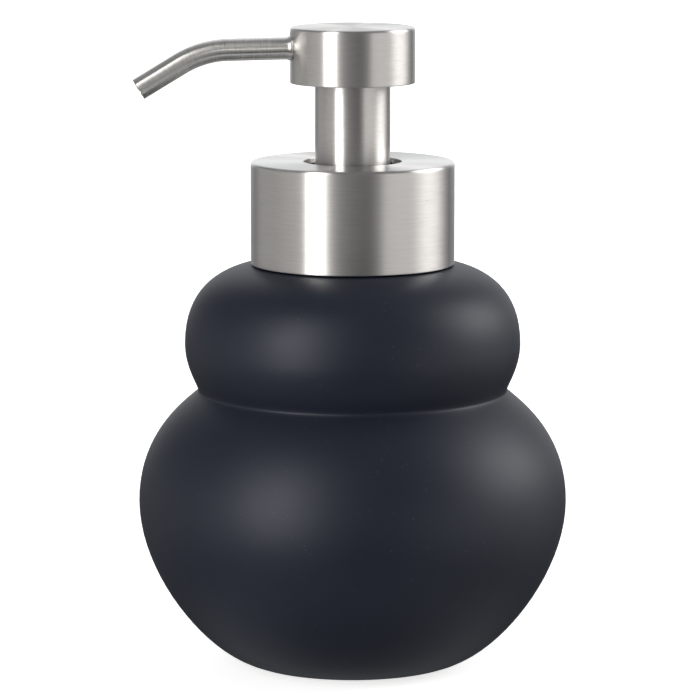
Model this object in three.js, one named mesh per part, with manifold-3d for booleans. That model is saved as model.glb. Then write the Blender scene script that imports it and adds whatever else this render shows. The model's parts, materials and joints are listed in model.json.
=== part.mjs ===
// Foaming soap dispenser: a two-bulge ceramic bottle with a screw-on steel-clad foam pump.
// Units are millimetres, +Z is up, and the origin is the centre of the foot pad's underside.
// The pump's axis is the Z axis and the spout points along -X.
import * as THREE from 'three';
import { mergeVertices } from 'three/addons/utils/BufferGeometryUtils.js';
import Module from 'manifold-3d';

const wasm = await Module();
wasm.setup();

// ---------------------------------------------------------------- driving dimensions
// Ceramic bottle: two bulges that meet at a crease.
const FOOT_R = 25.2; // radius of the flat foot ring
const FOOT_RING_W = 3;
const PAD_T = 2; // foot pad, glued in a recess inside the ring
const PAD_PROUD = 0.4; // how far the pad stands below the foot ring
const PAD_CLEARANCE = 0.2; // round the pad in its recess
const BELLY_R = 55; // lower bulge
const BELLY_Z = 42.2;
const CREASE_R = 39.65; // groove between the bulges
const CREASE_Z = 70.9;
const SHOULDER_R = 43; // upper bulge
const SHOULDER_Z = 83;
const BOTTLE_TOP_Z = 103.4; // flat rim round the mouth
const RIM_W = 2.5; // flat of the rim, from the mouth out to the shoulder's curve
const WALL = 4.2; // ceramic wall
// Fullness of the bottle's four curves: how far each handle reaches from its end.
const FOOT_REACH = 10.5;
const BELLY_DOWN = 20;
const BELLY_UP = 19.8;
const CREASE_BEND = 1.5;
const SHOULDER_DOWN = 6.3;
const SHOULDER_FALL = 1.7; // top handle's end below the rim
const RIM_REACH = 5.1;

// Threaded neck, bonded in the mouth.
const BOND_GAP = 0.2;
const NECK_CLEARANCE = 2.7; // round the air cylinder, so that soap can be poured in past it
const NECK_WALL = 2.2; // under the thread
const NECK_SPIGOT_H = 9; // below its flange, inside the mouth
const NECK_SPIGOT_LEAD_IN = 1;
const NECK_FLANGE_GAP = 0.8; // flange's edge inside the closure's outside
const NECK_FLANGE_T = 1.8;

// Screw thread, one start, right-handed, 6 turns to the inch.
const THREAD_LEAD = 25.4 / 6;
const THREAD_TURNS = 1.5;
const THREAD_ROOT_W = 1.7;
const THREAD_CREST_W = 0.8;
const THREAD_DEPTH = 0.9;
const THREAD_SINK = 0.3; // ridge's root inside its wall
const THREAD_CREST_GAP = 0.25; // between the two threads' crests
const THREAD_START = 2.2; // above the neck's flange
const THREAD_END_LAND = 7 / 3; // plain neck above the threads

// Closure and its steel skin.
const COLLAR_T = 0.8;
const COLLAR_EDGE = 0.5; // chamfer round the top plate
const COLLAR_LIFT = 0.1; // above the bottle's rim plane
const COLLAR_HOLE_GAP = 0.45; // hole outside the chimney
const SKIN_GAP = 0.2; // between a steel skin and the plastic in it
const CLOSURE_SKIRT_W = 3.55;
const CLOSURE_SKIRT_GAP = 0.7; // skirt's lower edge above the neck's flange
const CLOSURE_DECK_T = 2;
const CLOSURE_RIM_W = 2.6; // upper ring that carries the collar's top plate
const CLOSURE_RIM_H = 5.6;
const CHIMNEY_WALL = 2.2;
const CHIMNEY_H = 3; // above the deck
const CHIMNEY_DROP = 2.8; // below the deck, into the air cylinder
const GASKET_T = 1.5;
const GASKET_OVERHANG_GAP = 0.8; // gasket's bore outside the air cylinder

// Pump housing: a wide air cylinder over a narrow liquid cylinder, in one moulding.
const PUMP_FLANGE_INSET = 0.3; // flange's edge inside the neck's wall
const PUMP_FLANGE_T = 1.6;
const AIR_CHIMNEY_GAP = 1.1; // air cylinder's bore outside the chimney
const AIR_WALL = 1.3;
const AIR_END_GAP = 1.5; // under the plunger at full stroke
const VENT_R = 0.6; // hole that lets air into the bottle
const VENT_DROP = 5; // below the flange
const AIR_FLOOR_T = 1.5;
const LIQUID_BORE_R = 5;
const LIQUID_WALL = 1.3;
const LIQUID_TOP_LAND = 3; // bore above the seal, at rest
const BALL_LIP_R = 2; // snap-in lip that keeps the inlet ball
const BALL_LIP_T = 0.8;
const BALL_CHAMBER_R = 3;
const BALL_CHAMBER_H = 5.7;
const BALL_CONTACT_GAP = 0.05; // between a ball and its seat
const INLET_BALL_R = 2.4;
const INLET_HOLE_R = 1.8;
const INLET_WEB_T = 1.5;
const CYLINDER_FOOT_TAPER = 2;
const SOCKET_DEPTH = 10;
const SOCKET_WALL = 1.3;
const DIP_TUBE_R = 3;
const DIP_TUBE_WALL = 0.7;
const DIP_TUBE_GAP = 0.1; // in its socket
const DIP_TUBE_FLOOR_GAP = 2.3; // above the bottle's floor
const DIP_TUBE_CUT_DEG = 35; // slant of its lower end

// Plunger: everything that goes down with the head.
const STROKE = 16;
const SPRING_WIRE_R = 0.4;
const SPRING_TURNS = 8;
const SPRING_SIDE_GAP = 0.4; // in the liquid cylinder
const SPRING_PRESSED_LENGTH = 16;
const SPRING_END_GAP = 0.05;
const ROD_GAP = 1.4; // hollow liquid piston, inside the liquid cylinder's bore
const ROD_WALL = 1.4;
const ROD_FOOT_GAP = 0.5;
const ROD_FOOT_T = 1.5;
const ROD_BEAD_T = 0.8;
const ROD_SOCKET_EXTRA = 0.8; // rod's top above the hub's shoulder
const SEAL_H = 4;
const SEAL_WAIST = 0.4;
const SEAL_GAP = 0.08; // between the seal's lips and the bore
const SEAL_FIT = 0.05; // between the seal and the rod
const AIR_PISTON_H = 6;
const AIR_PISTON_SKIRT_T = 1.2;
const AIR_PISTON_LIP_T = 0.5;
const AIR_PISTON_WAIST = 0.4; // how far the piston's side is relieved between its lips
const AIR_PISTON_GAP = 0.13;
const AIR_PISTON_WEB_T = 1.2;
const AIR_PISTON_STOP_GAP = 0.2; // under the chimney's lower end, at rest
const HUB_WALL = 2.35;
const HUB_DROP = 4.5; // hub's lower end below the web
const HUB_ROD_GAP = 0.05;
const HUB_SHOULDER_H = 1; // above the web
const HUB_SPIGOT_STEP = 0.4;
const HUB_SPIGOT_H = 7.8;
const OUTLET_WEB_T = 1.5;
const OUTLET_HOLE_R = 1.9;
const OUTLET_BALL_R = 2.5;
const OUTLET_CHAMBER_GAP = 0.9; // round the outlet ball
const PORT_R = 0.6; // air ports through the hub and the web
const PORT_COUNT = 4;
const VALVE_SLEEVE_WALL = 0.9;
const VALVE_SLEEVE_LIFT = 0.5; // sleeve's lower end above the hub's
const VALVE_EDGE_GAP = 0.27; // disc's edge inside the piston's skirt
const VALVE_T = 0.6;
const VALVE_DROP = 0.25; // gap that lets air under the web's ports
const VALVE_FIT = 0.1; // round the hub

// Stem, foam mesh cartridge and head.
const STEM_R = 9.6;
const STEM_SKIN_T = 0.6;
const STEM_SKIN_FIT = 0.1;
const STEM_GUIDE_GAP = 0.3; // in the chimney
const STEM_SKIN_DROP = 6.7; // steel sleeve's lower end below the chimney's top
const STEM_SPIGOT_GAP = 0.2; // round the air piston's spigot, so that the head can turn
const STEM_STEP = 2.1; // how much narrower the stem's bore is above the cartridge
const MESH_T = 0.3;
const MESH_GAP = 0.2; // cartridge in the stem
const CARTRIDGE_H = 16;
const CARTRIDGE_WALL = 1.2;
const HEAD_R = 15.9;
const HEAD_H = 14.2;
const HEAD_T = 0.8;
const HEAD_EDGE = 0.4; // chamfer round the top
const HEAD_PRESSED_GAP = 4; // head above the collar at full stroke
const HEAD_CORE_RECESS = 0.4; // plastic core above the shell's lower edge
const HEAD_SOCKET_LAND = 0.7; // stem's top below the spout's bore
const HEAD_SKIN_RECESS = 1.1; // for the steel sleeve's upper end

// Spout.
const SPOUT_R = 2.85;
const SPOUT_WALL = 0.5;
const SPOUT_DROP = 5.25; // tube's centre below the head's top, where it leaves the head
const SPOUT_DROOP_DEG = 0.75; // slope of the first straight run
const SPOUT_INNER_X = 5.5; // tube's inner end, from the axis
const SPOUT_BEND_X = 31.8; // where the bend starts, from the axis
const SPOUT_BEND_R = 24.7;
const SPOUT_BEND_DEG = 30;
const SPOUT_TIP_L = 12.2;
const SPOUT_BORE_GAP = 0.1; // round the tube, in the head
const CUTTER_PAST = 2; // how far a cutter runs past the head
const LINER_GAP = 0.1;
const LINER_WALL = 0.5;
const LINER_SETBACK = 2; // liner's end inside the tube's tip

// Facets round each piece. Pieces that nest share a count.
const BODY_SEGMENTS = 40;
const COLLAR_SEGMENTS = 36;
const PUMP_SEGMENTS = 28;
const ROD_SEGMENTS = 18;
const TUBE_SEGMENTS = 12;
const PORT_SEGMENTS = 6;
const BALL_SEGMENTS = 12;
const WIRE_SEGMENTS = 6;

// Steps along each curve of the bottle's side and along the swept pieces.
const OUTSIDE_STEPS = 5;
const INSIDE_STEPS = 4;
const SPOUT_STEPS = 16;
const SPRING_STEPS_PER_TURN = 12;

// ---------------------------------------------------------------- radii, from the stem outwards
const chimneyBoreR = STEM_R + STEM_GUIDE_GAP;
const chimneyR = chimneyBoreR + CHIMNEY_WALL;
const airBoreR = chimneyR + AIR_CHIMNEY_GAP;
const airR = airBoreR + AIR_WALL;
const neckBoreR = airR + NECK_CLEARANCE;
const neckWallR = neckBoreR + NECK_WALL;
const mouthR = neckWallR + BOND_GAP;
const rimR = mouthR + RIM_W;
const neckCrestR = neckWallR + THREAD_DEPTH;
const closureCrestR = neckCrestR + THREAD_CREST_GAP;
const closureBoreR = closureCrestR + THREAD_DEPTH;
const closureR = closureBoreR + CLOSURE_SKIRT_W;
const collarBoreR = closureR + SKIN_GAP;
const collarR = collarBoreR + COLLAR_T;
const collarHoleR = chimneyR + COLLAR_HOLE_GAP;
const padR = FOOT_R - FOOT_RING_W - PAD_CLEARANCE;

// ---------------------------------------------------------------- radii, from the stem and bore inwards
const stemCoreR = STEM_R - STEM_SKIN_T - STEM_SKIN_FIT;
const socketR = DIP_TUBE_R + DIP_TUBE_GAP;
const springMeanR = LIQUID_BORE_R - SPRING_SIDE_GAP - SPRING_WIRE_R;
const rodR = LIQUID_BORE_R - ROD_GAP;
const rodBoreR = rodR - ROD_WALL;
const rodFootR = LIQUID_BORE_R - ROD_FOOT_GAP;
const hubBoreR = rodR + HUB_ROD_GAP;
const hubR = hubBoreR + HUB_WALL;
const spigotR = hubR + HUB_SPIGOT_STEP;
const stemBoreR = spigotR + STEM_SPIGOT_GAP;
const stemUpperBoreR = stemBoreR - STEM_STEP;
const cartridgeR = stemBoreR - MESH_GAP;
const outletChamberR = OUTLET_BALL_R + OUTLET_CHAMBER_GAP;
const pistonLipR = airBoreR - AIR_PISTON_GAP;
const pistonWaistR = pistonLipR - AIR_PISTON_WAIST;
const pistonSkirtR = pistonWaistR - AIR_PISTON_SKIRT_T;
const headCoreR = HEAD_R - HEAD_T - SKIN_GAP;
const spoutBoreR = SPOUT_R + SPOUT_BORE_GAP;
const linerR = SPOUT_R - SPOUT_WALL - LINER_GAP;

// ---------------------------------------------------------------- heights, from the floor up
const floorZ = PAD_T + WALL;
const neckFlangeTop = BOTTLE_TOP_Z + NECK_FLANGE_T;
const neckThreadZ = neckFlangeTop + THREAD_START;
const closureThreadZ = neckThreadZ + THREAD_LEAD / 2;
const neckTop = closureThreadZ + THREAD_LEAD * THREAD_TURNS + THREAD_END_LAND;
const pumpFlangeBottom = neckTop + GASKET_T;
const pumpFlangeTop = pumpFlangeBottom + PUMP_FLANGE_T;
const deckTop = pumpFlangeTop + CLOSURE_DECK_T;
const chimneyTop = deckTop + CHIMNEY_H;
const chimneyBottom = pumpFlangeTop - CHIMNEY_DROP;
const collarBottom = BOTTLE_TOP_Z + COLLAR_LIFT;
const closureRimTop = deckTop + CLOSURE_RIM_H;
const collarTop = closureRimTop + COLLAR_T;

// ---------------------------------------------------------------- heights inside the pump, at rest
const airPistonTop = chimneyBottom - AIR_PISTON_STOP_GAP;
const airPistonBottom = airPistonTop - AIR_PISTON_H;
const webTop = (airPistonTop + airPistonBottom + AIR_PISTON_WEB_T) / 2;
const webBottom = webTop - AIR_PISTON_WEB_T;
const hubBottom = webBottom - HUB_DROP;
const airFloor = Math.min(airPistonBottom, hubBottom) - STROKE - AIR_END_GAP;
const sealTop = airFloor - LIQUID_TOP_LAND;
const sealBottom = sealTop - SEAL_H;
const rodBottom = sealBottom - ROD_FOOT_T;
const springSeat = rodBottom - STROKE - SPRING_PRESSED_LENGTH;
const ballLipBottom = springSeat - BALL_LIP_T;
const inletSeat = ballLipBottom - BALL_CHAMBER_H;
const dipTubeTop = inletSeat - INLET_WEB_T;
const hubShoulder = webTop + HUB_SHOULDER_H;
const hubTop = hubShoulder + HUB_SPIGOT_H;
const rodTop = hubShoulder + ROD_SOCKET_EXTRA;
const outletSeat = rodTop + OUTLET_WEB_T;
const cartridgeBottom = hubTop + MESH_T;
const cartridgeTop = cartridgeBottom + CARTRIDGE_H;
const stemStep = cartridgeTop + MESH_T;
const headBottom = collarTop + STROKE + HEAD_PRESSED_GAP;
const headTop = headBottom + HEAD_H;
const headCoreBottom = headBottom + HEAD_CORE_RECESS;
const headCoreTop = headTop - HEAD_T;
const sleeveTop = headCoreBottom + HEAD_SKIN_RECESS;
const sleeveBottom = chimneyTop - STEM_SKIN_DROP;
const spoutZ = headTop - SPOUT_DROP;
const stemTop = spoutZ - spoutBoreR - HEAD_SOCKET_LAND;

// ---------------------------------------------------------------- materials
const finish = (color, roughness, metalness) =>
  new THREE.MeshStandardMaterial({ color, roughness, metalness });
const CERAMIC = [0x24272b, 0.55, 0.0];
const STEEL = [0xb9b4ae, 0.3, 1.0];
const BLACK_PLASTIC = [0x17181a, 0.5, 0.0];
const CLEAR_PLASTIC = [0xdfe4e6, 0.3, 0.0];
const WHITE_PLASTIC = [0xeceae4, 0.45, 0.0];
const RUBBER = [0x2a2b2d, 0.8, 0.0];
const SILICONE = [0xd9dcdd, 0.6, 0.0];
const SPRING_STEEL = [0xc4c6c8, 0.25, 1.0];

// ---------------------------------------------------------------- helpers
const radians = THREE.MathUtils.degToRad;

// A closed triangle mesh with merged vertices, no flat slivers and its faces pointing out.
function closed(geometry) {
  geometry.deleteAttribute('normal');
  geometry.deleteAttribute('uv');
  const merged = mergeVertices(geometry, 1e-4);
  const index = merged.index.array;
  const kept = [];
  for (let i = 0; i < index.length; i += 3) {
    const [a, b, c] = [index[i], index[i + 1], index[i + 2]];
    if (a !== b && b !== c && c !== a) kept.push(a, b, c);
  }
  const p = new THREE.Vector3();
  const q = new THREE.Vector3();
  const r = new THREE.Vector3();
  let volume = 0;
  for (let i = 0; i < kept.length; i += 3) {
    p.fromBufferAttribute(merged.attributes.position, kept[i]);
    q.fromBufferAttribute(merged.attributes.position, kept[i + 1]);
    r.fromBufferAttribute(merged.attributes.position, kept[i + 2]);
    volume += p.dot(q.cross(r));
  }
  if (volume < 0) kept.reverse();
  merged.setIndex(kept);
  return merged;
}

// A ring or disc turned about Z from its half-section, a list of [radius, height] corners.
// A section that touches the axis starts and ends on it; any other closes on itself.
function turned(section, segments) {
  const points = section.map(([r, z]) => new THREE.Vector2(r, z));
  if (section[0][0] > 0) points.push(points[0].clone());
  return closed(new THREE.LatheGeometry(points, segments).rotateX(Math.PI / 2));
}

// A ring with a square section.
const ring = (inner, outer, bottom, top, segments) =>
  turned([[inner, bottom], [outer, bottom], [outer, top], [inner, top]], segments);

// Points along a cubic curve in the half-section plane, without its first point.
function curvePoints(steps, start, handleA, handleB, end) {
  const corners = [start, handleA, handleB, end].map(([r, z]) => new THREE.Vector2(r, z));
  const curve = new THREE.CubicBezierCurve(...corners);
  return curve.getPoints(steps).slice(1).map((point) => [point.x, point.y]);
}

function toSolid(geometry) {
  return new wasm.Manifold(new wasm.Mesh({
    numProp: 3,
    vertProperties: new Float32Array(geometry.attributes.position.array),
    triVerts: new Uint32Array(geometry.index.array),
  }));
}

function toGeometry(solid) {
  const mesh = solid.getMesh();
  const geometry = new THREE.BufferGeometry();
  geometry.setAttribute('position', new THREE.BufferAttribute(mesh.vertProperties, 3));
  geometry.setIndex(new THREE.BufferAttribute(mesh.triVerts, 1));
  return geometry;
}

// A straight round bar along Z between two heights.
function bar(radius, bottom, top, segments) {
  const length = top - bottom;
  const cylinder = new THREE.CylinderGeometry(radius, radius, length, segments);
  cylinder.rotateX(Math.PI / 2);
  cylinder.translate(0, 0, bottom + length / 2);
  return closed(cylinder);
}

function ball(radius, centreZ) {
  const sphere = new THREE.SphereGeometry(radius, BALL_SEGMENTS, BALL_SEGMENTS / 2);
  return closed(sphere.rotateX(Math.PI / 2).translate(0, 0, centreZ));
}

// Upright round ports spaced evenly on a circle, cut out of a solid.
function withPorts(solid, circleR, bottom, top) {
  let result = solid;
  for (let i = 0; i < PORT_COUNT; i += 1) {
    const port = bar(PORT_R, bottom, top, PORT_SEGMENTS);
    const angle = (2 * Math.PI * (i + 0.5)) / PORT_COUNT;
    port.translate(circleR * Math.cos(angle), circleR * Math.sin(angle), 0);
    result = result.subtract(toSolid(port));
  }
  return result;
}

// A screw thread's ridge: a straight bar of trapezoid section, wrapped round the axis.
// outward is 1 for an outside thread and -1 for an inside one; the ridge is rooted in its wall.
function threadRidge(wallR, outward, startZ, segments) {
  const section = new THREE.Shape([
    new THREE.Vector2(-THREAD_SINK, -THREAD_ROOT_W / 2),
    new THREE.Vector2(THREAD_DEPTH, -THREAD_CREST_W / 2),
    new THREE.Vector2(THREAD_DEPTH, THREAD_CREST_W / 2),
    new THREE.Vector2(-THREAD_SINK, THREAD_ROOT_W / 2),
  ]);
  const steps = Math.round(THREAD_TURNS * segments);
  const straight = new THREE.ExtrudeGeometry(section, {
    depth: THREAD_TURNS,
    steps,
    bevelEnabled: false,
  });
  const position = straight.attributes.position;
  const runOut = 2 / segments;
  for (let i = 0; i < position.count; i += 1) {
    const turn = position.getZ(i);
    const fade = Math.min(1, (turn + runOut / 4) / runOut, (THREAD_TURNS - turn + runOut / 4) / runOut);
    const height = position.getX(i) > 0 ? position.getX(i) * fade : position.getX(i);
    const radius = wallR + outward * height;
    const angle = 2 * Math.PI * turn;
    const z = startZ + THREAD_LEAD * turn + position.getY(i);
    position.setXYZ(i, radius * Math.cos(angle), radius * Math.sin(angle), z);
  }
  return closed(straight);
}

// A round bar or tube swept along a path; bore 0 makes it solid, and a circle has 2 points
// for each curve segment.
function swept(path, radius, bore, segments, steps) {
  const section = new THREE.Shape().absarc(0, 0, radius, 0, 2 * Math.PI, false);
  if (bore > 0) section.holes.push(new THREE.Path().absarc(0, 0, bore, 0, 2 * Math.PI, true));
  return closed(new THREE.ExtrudeGeometry(section, {
    extrudePath: path,
    steps,
    curveSegments: segments / 2,
  }));
}

class Helix extends THREE.Curve {
  constructor(radius, bottom, top, turns) {
    super();
    Object.assign(this, { radius, bottom, top, turns });
  }

  // The end coils lie flat, so the rise eases in and out over one turn at each end.
  getPoint(t, target = new THREE.Vector3()) {
    const turn = t * this.turns;
    const rising = this.turns - 2;
    const share = THREE.MathUtils.clamp((turn - 1) / rising, 0, 1);
    const closedPitch = (2.2 * SPRING_WIRE_R) / (this.top - this.bottom);
    const ends = closedPitch * (Math.min(turn, 1) + Math.max(turn - this.turns + 1, 0));
    const height = ends + share * (1 - 2 * closedPitch);
    const angle = 2 * Math.PI * turn;
    return target.set(
      this.radius * Math.cos(angle),
      this.radius * Math.sin(angle),
      this.bottom + height * (this.top - this.bottom),
    );
  }
}

// ---------------------------------------------------------------- bottle
// One side of the bottle from the foot to the rim, set in from the outside by inset.
function bottleSide(inset, footZ, steps) {
  const topZ = BOTTLE_TOP_Z - inset;
  const bellyR = BELLY_R - inset;
  const creaseR = CREASE_R - 0.75 * inset;
  const shoulderR = SHOULDER_R - inset;
  const bellyDown = BELLY_DOWN - 0.8 * inset;
  const bellyUp = BELLY_UP - inset;
  const creaseBend = CREASE_BEND + inset;
  const swellZ = SHOULDER_Z - SHOULDER_DOWN;
  const roundZ = topZ - SHOULDER_FALL;
  const foot = [FOOT_R, footZ];
  const belly = [bellyR, BELLY_Z];
  const crease = [creaseR, CREASE_Z];
  const shoulder = [shoulderR, SHOULDER_Z];
  return [
    foot,
    ...curvePoints(steps, foot, [FOOT_R + FOOT_REACH, footZ], [bellyR, BELLY_Z - bellyDown], belly),
    ...curvePoints(steps, belly, [bellyR, BELLY_Z + bellyUp], [creaseR, CREASE_Z - creaseBend], crease),
    ...curvePoints(steps, crease, [creaseR, CREASE_Z + creaseBend], [shoulderR, swellZ], shoulder),
    ...curvePoints(steps, shoulder, [shoulderR, roundZ], [rimR + RIM_REACH, topZ], [rimR, topZ]),
  ];
}

function bottle() {
  const recessR = padR + PAD_CLEARANCE;
  const outside = bottleSide(0, PAD_PROUD, OUTSIDE_STEPS);
  const inside = bottleSide(WALL, floorZ, INSIDE_STEPS).reverse();
  return turned([
    [0, PAD_T],
    [recessR, PAD_T],
    [recessR, PAD_PROUD],
    ...outside,
    [mouthR, BOTTLE_TOP_Z],
    [mouthR, BOTTLE_TOP_Z - WALL],
    ...inside,
    [0, floorZ],
  ], BODY_SEGMENTS);
}

function basePad() {
  const edge = PAD_PROUD / 2;
  return turned([
    [0, 0],
    [padR - edge, 0],
    [padR, edge],
    [padR, PAD_T],
    [0, PAD_T],
  ], BODY_SEGMENTS);
}

function neckInsert() {
  const spigotBottom = BOTTLE_TOP_Z - NECK_SPIGOT_H;
  const flangeR = closureR - NECK_FLANGE_GAP;
  const body = turned([
    [neckBoreR, spigotBottom],
    [neckWallR - NECK_SPIGOT_LEAD_IN, spigotBottom],
    [neckWallR, spigotBottom + NECK_SPIGOT_LEAD_IN],
    [neckWallR, BOTTLE_TOP_Z],
    [flangeR, BOTTLE_TOP_Z],
    [flangeR, neckFlangeTop],
    [neckWallR, neckFlangeTop],
    [neckWallR, neckTop],
    [neckBoreR, neckTop],
  ], COLLAR_SEGMENTS);
  const ridge = threadRidge(neckWallR, 1, neckThreadZ, COLLAR_SEGMENTS);
  return toGeometry(toSolid(body).add(toSolid(ridge)));
}

// ---------------------------------------------------------------- closure
function bottleGasket() {
  return ring(airR + GASKET_OVERHANG_GAP, neckWallR, neckTop, pumpFlangeBottom, COLLAR_SEGMENTS);
}

function collarShell() {
  return turned([
    [collarBoreR, collarBottom],
    [collarR, collarBottom],
    [collarR, collarTop - COLLAR_EDGE],
    [collarR - COLLAR_EDGE, collarTop],
    [collarHoleR, collarTop],
    [collarHoleR, closureRimTop],
    [collarBoreR, closureRimTop],
  ], COLLAR_SEGMENTS);
}

function closure() {
  const skirtBottom = neckFlangeTop + CLOSURE_SKIRT_GAP;
  const rimInner = closureR - CLOSURE_RIM_W;
  const body = turned([
    [closureBoreR, skirtBottom],
    [closureR, skirtBottom],
    [closureR, closureRimTop],
    [rimInner, closureRimTop],
    [rimInner, deckTop],
    [chimneyR, deckTop],
    [chimneyR, chimneyTop],
    [chimneyBoreR, chimneyTop],
    [chimneyBoreR, chimneyBottom],
    [chimneyR, chimneyBottom],
    [chimneyR, pumpFlangeTop],
    [closureBoreR, pumpFlangeTop],
  ], COLLAR_SEGMENTS);
  const ridge = threadRidge(closureBoreR, -1, closureThreadZ, COLLAR_SEGMENTS);
  return toGeometry(toSolid(body).add(toSolid(ridge)));
}

// ---------------------------------------------------------------- pump housing
function pumpCylinder() {
  const flangeR = neckWallR - PUMP_FLANGE_INSET;
  const liquidR = LIQUID_BORE_R + LIQUID_WALL;
  const socketOuterR = socketR + SOCKET_WALL;
  const body = turned([
    [flangeR, pumpFlangeBottom],
    [flangeR, pumpFlangeTop],
    [airBoreR, pumpFlangeTop],
    [airBoreR, airFloor],
    [LIQUID_BORE_R, airFloor],
    [LIQUID_BORE_R, springSeat],
    [BALL_LIP_R, springSeat],
    [BALL_LIP_R, ballLipBottom],
    [BALL_CHAMBER_R, ballLipBottom],
    [BALL_CHAMBER_R, inletSeat],
    [INLET_HOLE_R, inletSeat],
    [INLET_HOLE_R, dipTubeTop],
    [socketR, dipTubeTop],
    [socketR, dipTubeTop - SOCKET_DEPTH],
    [socketOuterR, dipTubeTop - SOCKET_DEPTH],
    [socketOuterR, inletSeat],
    [liquidR, inletSeat + CYLINDER_FOOT_TAPER],
    [liquidR, airFloor - AIR_FLOOR_T],
    [airR, airFloor - AIR_FLOOR_T],
    [airR, pumpFlangeBottom],
  ], PUMP_SEGMENTS);
  const vent = bar(VENT_R, rodR, flangeR, PORT_SEGMENTS).rotateY(Math.PI / 2);
  vent.translate(0, 0, pumpFlangeBottom - VENT_DROP);
  return toGeometry(toSolid(body).subtract(toSolid(vent)));
}

function inletBall() {
  const rise = Math.sqrt(INLET_BALL_R ** 2 - INLET_HOLE_R ** 2) + BALL_CONTACT_GAP;
  return ball(INLET_BALL_R, inletSeat + rise);
}

// The lower end is cut on a slant, so that it can't be sealed by the floor.
function dipTube() {
  const bottom = floorZ + DIP_TUBE_FLOOR_GAP;
  const tube = ring(DIP_TUBE_R - DIP_TUBE_WALL, DIP_TUBE_R, bottom, dipTubeTop, TUBE_SEGMENTS);
  const position = tube.attributes.position;
  const slope = Math.tan(radians(DIP_TUBE_CUT_DEG));
  for (let i = 0; i < position.count; i += 1) {
    if (position.getZ(i) < dipTubeTop - DIP_TUBE_R) {
      position.setZ(i, bottom + (position.getX(i) + DIP_TUBE_R) * slope);
    }
  }
  return tube;
}

function returnSpring() {
  const bottom = springSeat + SPRING_WIRE_R + SPRING_END_GAP;
  const top = rodBottom - SPRING_WIRE_R - SPRING_END_GAP;
  const path = new Helix(springMeanR, bottom, top, SPRING_TURNS);
  return swept(path, SPRING_WIRE_R, 0, WIRE_SEGMENTS, SPRING_TURNS * SPRING_STEPS_PER_TURN);
}

// ---------------------------------------------------------------- plunger
function liquidPiston() {
  return turned([
    [rodBoreR, rodBottom],
    [rodFootR, rodBottom],
    [rodFootR, sealBottom],
    [rodR, sealBottom],
    [rodR, sealTop],
    [rodFootR, sealTop],
    [rodR, sealTop + ROD_BEAD_T],
    [rodR, rodTop],
    [rodBoreR, rodTop],
  ], ROD_SEGMENTS);
}

function liquidSeal() {
  const lipR = LIQUID_BORE_R - SEAL_GAP;
  const boreR = rodR + SEAL_FIT;
  const waistR = lipR - SEAL_WAIST;
  const lipH = SEAL_H / 3;
  return turned([
    [boreR, sealBottom],
    [lipR, sealBottom],
    [waistR, sealBottom + lipH],
    [waistR, sealTop - lipH],
    [lipR, sealTop],
    [boreR, sealTop],
  ], ROD_SEGMENTS);
}

function airPiston() {
  const lipInnerR = pistonLipR - AIR_PISTON_LIP_T;
  const lipH = AIR_PISTON_H / 6;
  const body = turned([
    [hubBoreR, hubBottom],
    [hubR, hubBottom],
    [hubR, webBottom],
    [pistonSkirtR, webBottom],
    [lipInnerR, airPistonBottom],
    [pistonLipR, airPistonBottom],
    [pistonWaistR, airPistonBottom + lipH],
    [pistonWaistR, airPistonTop - lipH],
    [pistonLipR, airPistonTop],
    [lipInnerR, airPistonTop],
    [pistonSkirtR, webTop],
    [stemCoreR, webTop],
    [stemCoreR, hubShoulder],
    [spigotR, hubShoulder],
    [spigotR, hubTop],
    [outletChamberR, hubTop],
    [outletChamberR, outletSeat],
    [OUTLET_HOLE_R, outletSeat],
    [OUTLET_HOLE_R, rodTop],
    [hubBoreR, rodTop],
  ], PUMP_SEGMENTS);
  const hubPortR = (outletChamberR + spigotR) / 2;
  const webPortR = (stemCoreR + pistonSkirtR) / 2;
  const past = 1;
  const vented = withPorts(toSolid(body), hubPortR, hubBottom - past, hubTop + past);
  return toGeometry(withPorts(vented, webPortR, webBottom - past, webTop + past));
}

function airValve() {
  const boreR = hubR + VALVE_FIT;
  const sleeveR = boreR + VALVE_SLEEVE_WALL;
  const discR = pistonSkirtR - VALVE_EDGE_GAP;
  const discTop = webBottom - VALVE_DROP;
  const sleeveFoot = hubBottom + VALVE_SLEEVE_LIFT;
  return turned([
    [boreR, sleeveFoot],
    [sleeveR, sleeveFoot],
    [sleeveR, discTop - VALVE_T],
    [discR, discTop - VALVE_T / 2],
    [discR, discTop],
    [sleeveR, discTop],
    [sleeveR, webBottom],
    [boreR, webBottom],
  ], PUMP_SEGMENTS);
}

function outletBall() {
  const rise = Math.sqrt(OUTLET_BALL_R ** 2 - OUTLET_HOLE_R ** 2) + BALL_CONTACT_GAP;
  return ball(OUTLET_BALL_R, outletSeat + rise);
}

// ---------------------------------------------------------------- stem and head
function meshDisc(bottom) {
  return turned([
    [0, bottom],
    [cartridgeR, bottom],
    [cartridgeR, bottom + MESH_T],
    [0, bottom + MESH_T],
  ], ROD_SEGMENTS);
}

function meshCartridge() {
  return ring(cartridgeR - CARTRIDGE_WALL, cartridgeR, cartridgeBottom, cartridgeTop, ROD_SEGMENTS);
}

function stemCore() {
  return turned([
    [stemBoreR, hubShoulder],
    [stemCoreR, hubShoulder],
    [stemCoreR, stemTop],
    [stemUpperBoreR, stemTop],
    [stemUpperBoreR, stemStep],
    [stemBoreR, stemStep],
  ], PUMP_SEGMENTS);
}

function stemSleeve() {
  return ring(STEM_R - STEM_SKIN_T, STEM_R, sleeveBottom, sleeveTop, PUMP_SEGMENTS);
}

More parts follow.
